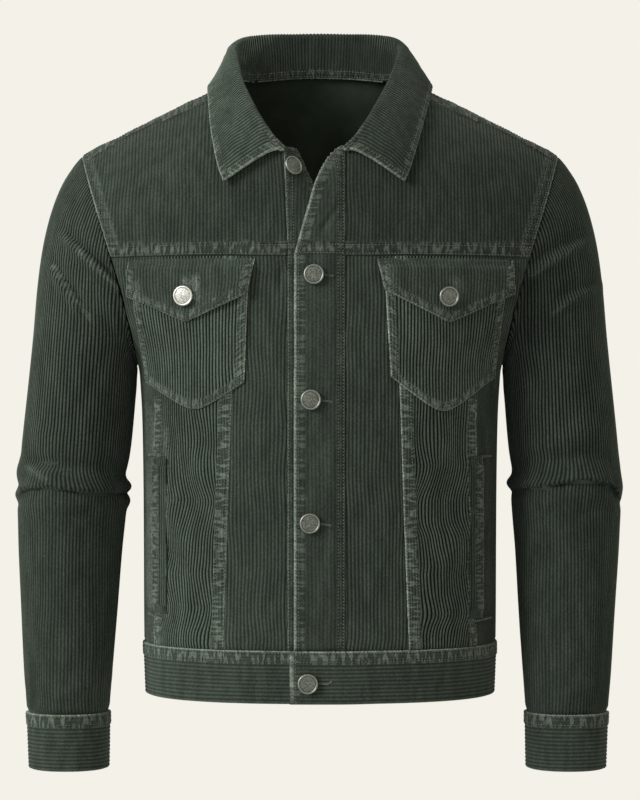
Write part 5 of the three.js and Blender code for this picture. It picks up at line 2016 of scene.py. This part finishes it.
def set_buttons():
    rise = (NECK_BUTTON["z"] - WAIST_SEAM_Z) / (OPEN_TOP_Z - WAIST_SEAM_Z)
    z = np.array(lerp(WAIST_SEAM_Z + SEAM_GAP / 2, OPEN_TOP_Z, rise))
    x = lerp(*band_ends("band", z), NECK_BUTTON["share"])
    normal = normal_of(right_band_point, x, z, 1.0)
    seat = right_band_point(x, z) + normal * (DOUBLE_CLOTH + SEAM_GAP)
    set_button("button_neck", seat, normal, METAL, 81)
    doubled = 2 * DOUBLE_CLOTH + LAYER_GAP
    lapped = [(f"button_front_{i}", place, 82 + i) for i, place in enumerate(PLACKET_BUTTONS, 1)]
    for node, (x, z), seed in lapped + [("button_waistband", WAIST_BUTTON, 87)]:
        normal = body_normal(x, z)
        set_button(node, body_point(x, z) + normal * doubled, normal, METAL, seed)
    for name, (x, z) in FLAP_BUTTONS.items():
        normal = body_normal(x, z)
        seat = body_point(x, z) + normal * (FLAP_LIFT + DOUBLE_CLOTH)
        set_button(f"button_flap_{name}", seat, normal, PALE_METAL if name == "right" else METAL, 88)
    last = row_of(SLEEVE_RINGS, -1)
    for name, setting in SLEEVE_SIDES.items():
        x = setting["sign"] * ((last["outX"] + last["inX"]) / 2 + setting["swing"] + CUFF_BUTTON_ASIDE)
        offset = CUFF_BUTTON_ASIDE / ((last["outX"] - last["inX"]) / 2)
        y = last["midY"] + last["depth"] * (1 - offset**SLEEVE_POWER) ** (1 / SLEEVE_POWER)
        normal = unit(np.array([setting["sign"] * 0.2, 1.0, 0.0]))
        seat = np.array([x, y, (CUFF_TOP_Z + CUFF_HEM_Z) / 2]) + normal * (DOUBLE_CLOTH - 0.25)
        set_button(f"button_cuff_{name}", seat, normal, METAL, 90)


# Camera, light and floor.

BACKDROP = (0.9047, 0.8796, 0.8069)
KEY = {"strength": 4.0, "softness": 0.4, "toward": (0.95, 0.55, -0.5)}


def camera():
    data = bpy.data.cameras.new("camera")
    data.lens = CAMERA_LENS
    data.clip_start = 0.05
    data.clip_end = 120
    eye = bpy.data.objects.new("camera", data)
    eye.location = (0, -CAMERA_DISTANCE, CAMERA_HEIGHT)
    eye.rotation_euler = (math.pi / 2, 0, 0)
    bpy.context.collection.objects.link(eye)
    bpy.context.scene.camera = eye


def sun(name, strength, softness, toward):
    """A soft far light that shines along a direction."""
    data = bpy.data.lights.new(name, "SUN")
    data.energy = strength
    data.angle = softness
    lamp = bpy.data.objects.new(name, data)
    lamp.rotation_mode = "QUATERNION"
    lamp.rotation_quaternion = Vector(toward).to_track_quat("-Z", "Y")
    bpy.context.collection.objects.link(lamp)


def studio():
    world = bpy.data.worlds.new("studio")
    world.use_nodes = True
    ground = world.node_tree.nodes["Background"]
    ground.inputs["Color"].default_value = BACKDROP + (1,)
    ground.inputs["Strength"].default_value = 1.0
    bpy.context.scene.world = world
    bpy.context.scene.view_settings.view_transform = "Standard"
    sun("key_light", KEY["strength"], KEY["softness"], KEY["toward"])
    slope = abs(KEY["toward"][2]) / math.sqrt(sum(k * k for k in KEY["toward"]))
    added = KEY["strength"] * slope / math.pi
    bpy.ops.mesh.primitive_plane_add(size=90, location=(0, 0, FLOOR_Z))
    floor = bpy.context.object
    floor.name = "floor"
    look = Nodes("pale_floor")
    shade = tuple(c / (c + added) for c in BACKDROP)
    look.set(Base_Color=shade + (1,), Roughness=1.0, Specular_IOR_Level=0.0)
    floor.data.materials.append(look.material)


camera()
studio()

# How far apart the rows of most meshes lie, and the length over which each kind of piece's are spread.
SPACING = 4.2
RUNS = {
    "front": YOKE_SEAM_Z - WAIST_SEAM_Z,
    "back": BACK_YOKE_SEAM_Z - WAIST_SEAM_Z,
    "front_yoke": 140,
    "back_yoke": 150,
    "band": 479,
    "sleeve": 550,
    "collar": 130,
    "pocket": 125,
    "flap": 60,
    "welt": 150,
}
SLEEVE_DENSE = ((188, 262, 1.4), (0, 30, 2.6), (536, 550, 2.0))
STITCHED_BELOW = {"left": "topstitched", "right": "topstitched", "low": "topstitched"}

body_rows = row_shares(RUNS["front"], SPACING, ("top", "low"))
band_rows = row_shares(RUNS["band"], 3.4)
all_cloths = {}


def build(cloth, rows, inner_columns=24, inner_rows=24):
    sew(cloth, rows, inner_columns, inner_rows)
    all_cloths[cloth.name] = cloth


for side in ("right", "left"):
    build(centre_front(side), body_rows, 8, 30)
    build(side_front(side), body_rows, 24, 40)
    yoke_rows = row_shares(RUNS["front_yoke"], SPACING, ("low",))
    build(front_yoke(-1 if side == "right" else 1), yoke_rows, 40, 24)
build(back_panel(), row_shares(RUNS["back"], 4.6, ("top", "low")), 64, 40)
build(back_yoke(), row_shares(RUNS["back_yoke"], SPACING, ("low",)), 64, 30)
build(front_band("placket", "placket_left"), band_rows, 12, 50)
build(front_band("band", "button_band_right"), band_rows, 12, 50)
band, girth = waistband()
build(band, row_shares(girth, 3.6), 4, 160)
for side in ("right", "left"):
    build(sleeve(side), row_shares(RUNS["sleeve"], 5.0, dense=SLEEVE_DENSE), 48, 90)
    ring, wrist = cuff(side)
    build(ring, row_shares(wrist, 3.4), 4, 60)
build(collar(), row_shares(RUNS["collar"], 2.6, ("top",), reach=10), 72, 30)

for side in ("right", "left"):
    pocket = laid_on(
        f"pocket_{side}", POCKETS[side], POCKET_TOP_Z, POCKET_LIFT, CLOTH,
        dict(STITCHED_BELOW, top="tucked"), 73, blunt=0.25, contrast=1.1, wash=1.38, groove=0.95,
    )
    build(pocket, row_shares(RUNS["pocket"], 2.8, ("low",)), 20, 20)
    flap = laid_on(
        f"flap_{side}", FLAPS[side], FLAP_TOP_Z, FLAP_LIFT, DOUBLE_CLOTH,
        dict(STITCHED_BELOW, top="seated"), 75, blunt=0.03, kick=1.7, contrast=0.4, wash=1.12,
        rubbed=WORN_AND_HIGHLIGHT_LINES[f"flap_{side}"],
    )
    build(flap, row_shares(RUNS["flap"], 2.4, ("low",)), 20, 12)
    build(welt(side), row_shares(RUNS["welt"], 3.0), 4, 12)

set_buttons()
threads = thread_lines()
for cloth in all_cloths.values():
    threads += edge_stitches(cloth)
    threads += seam_stitches(cloth)
thread_mesh("seam_stitches", threads)
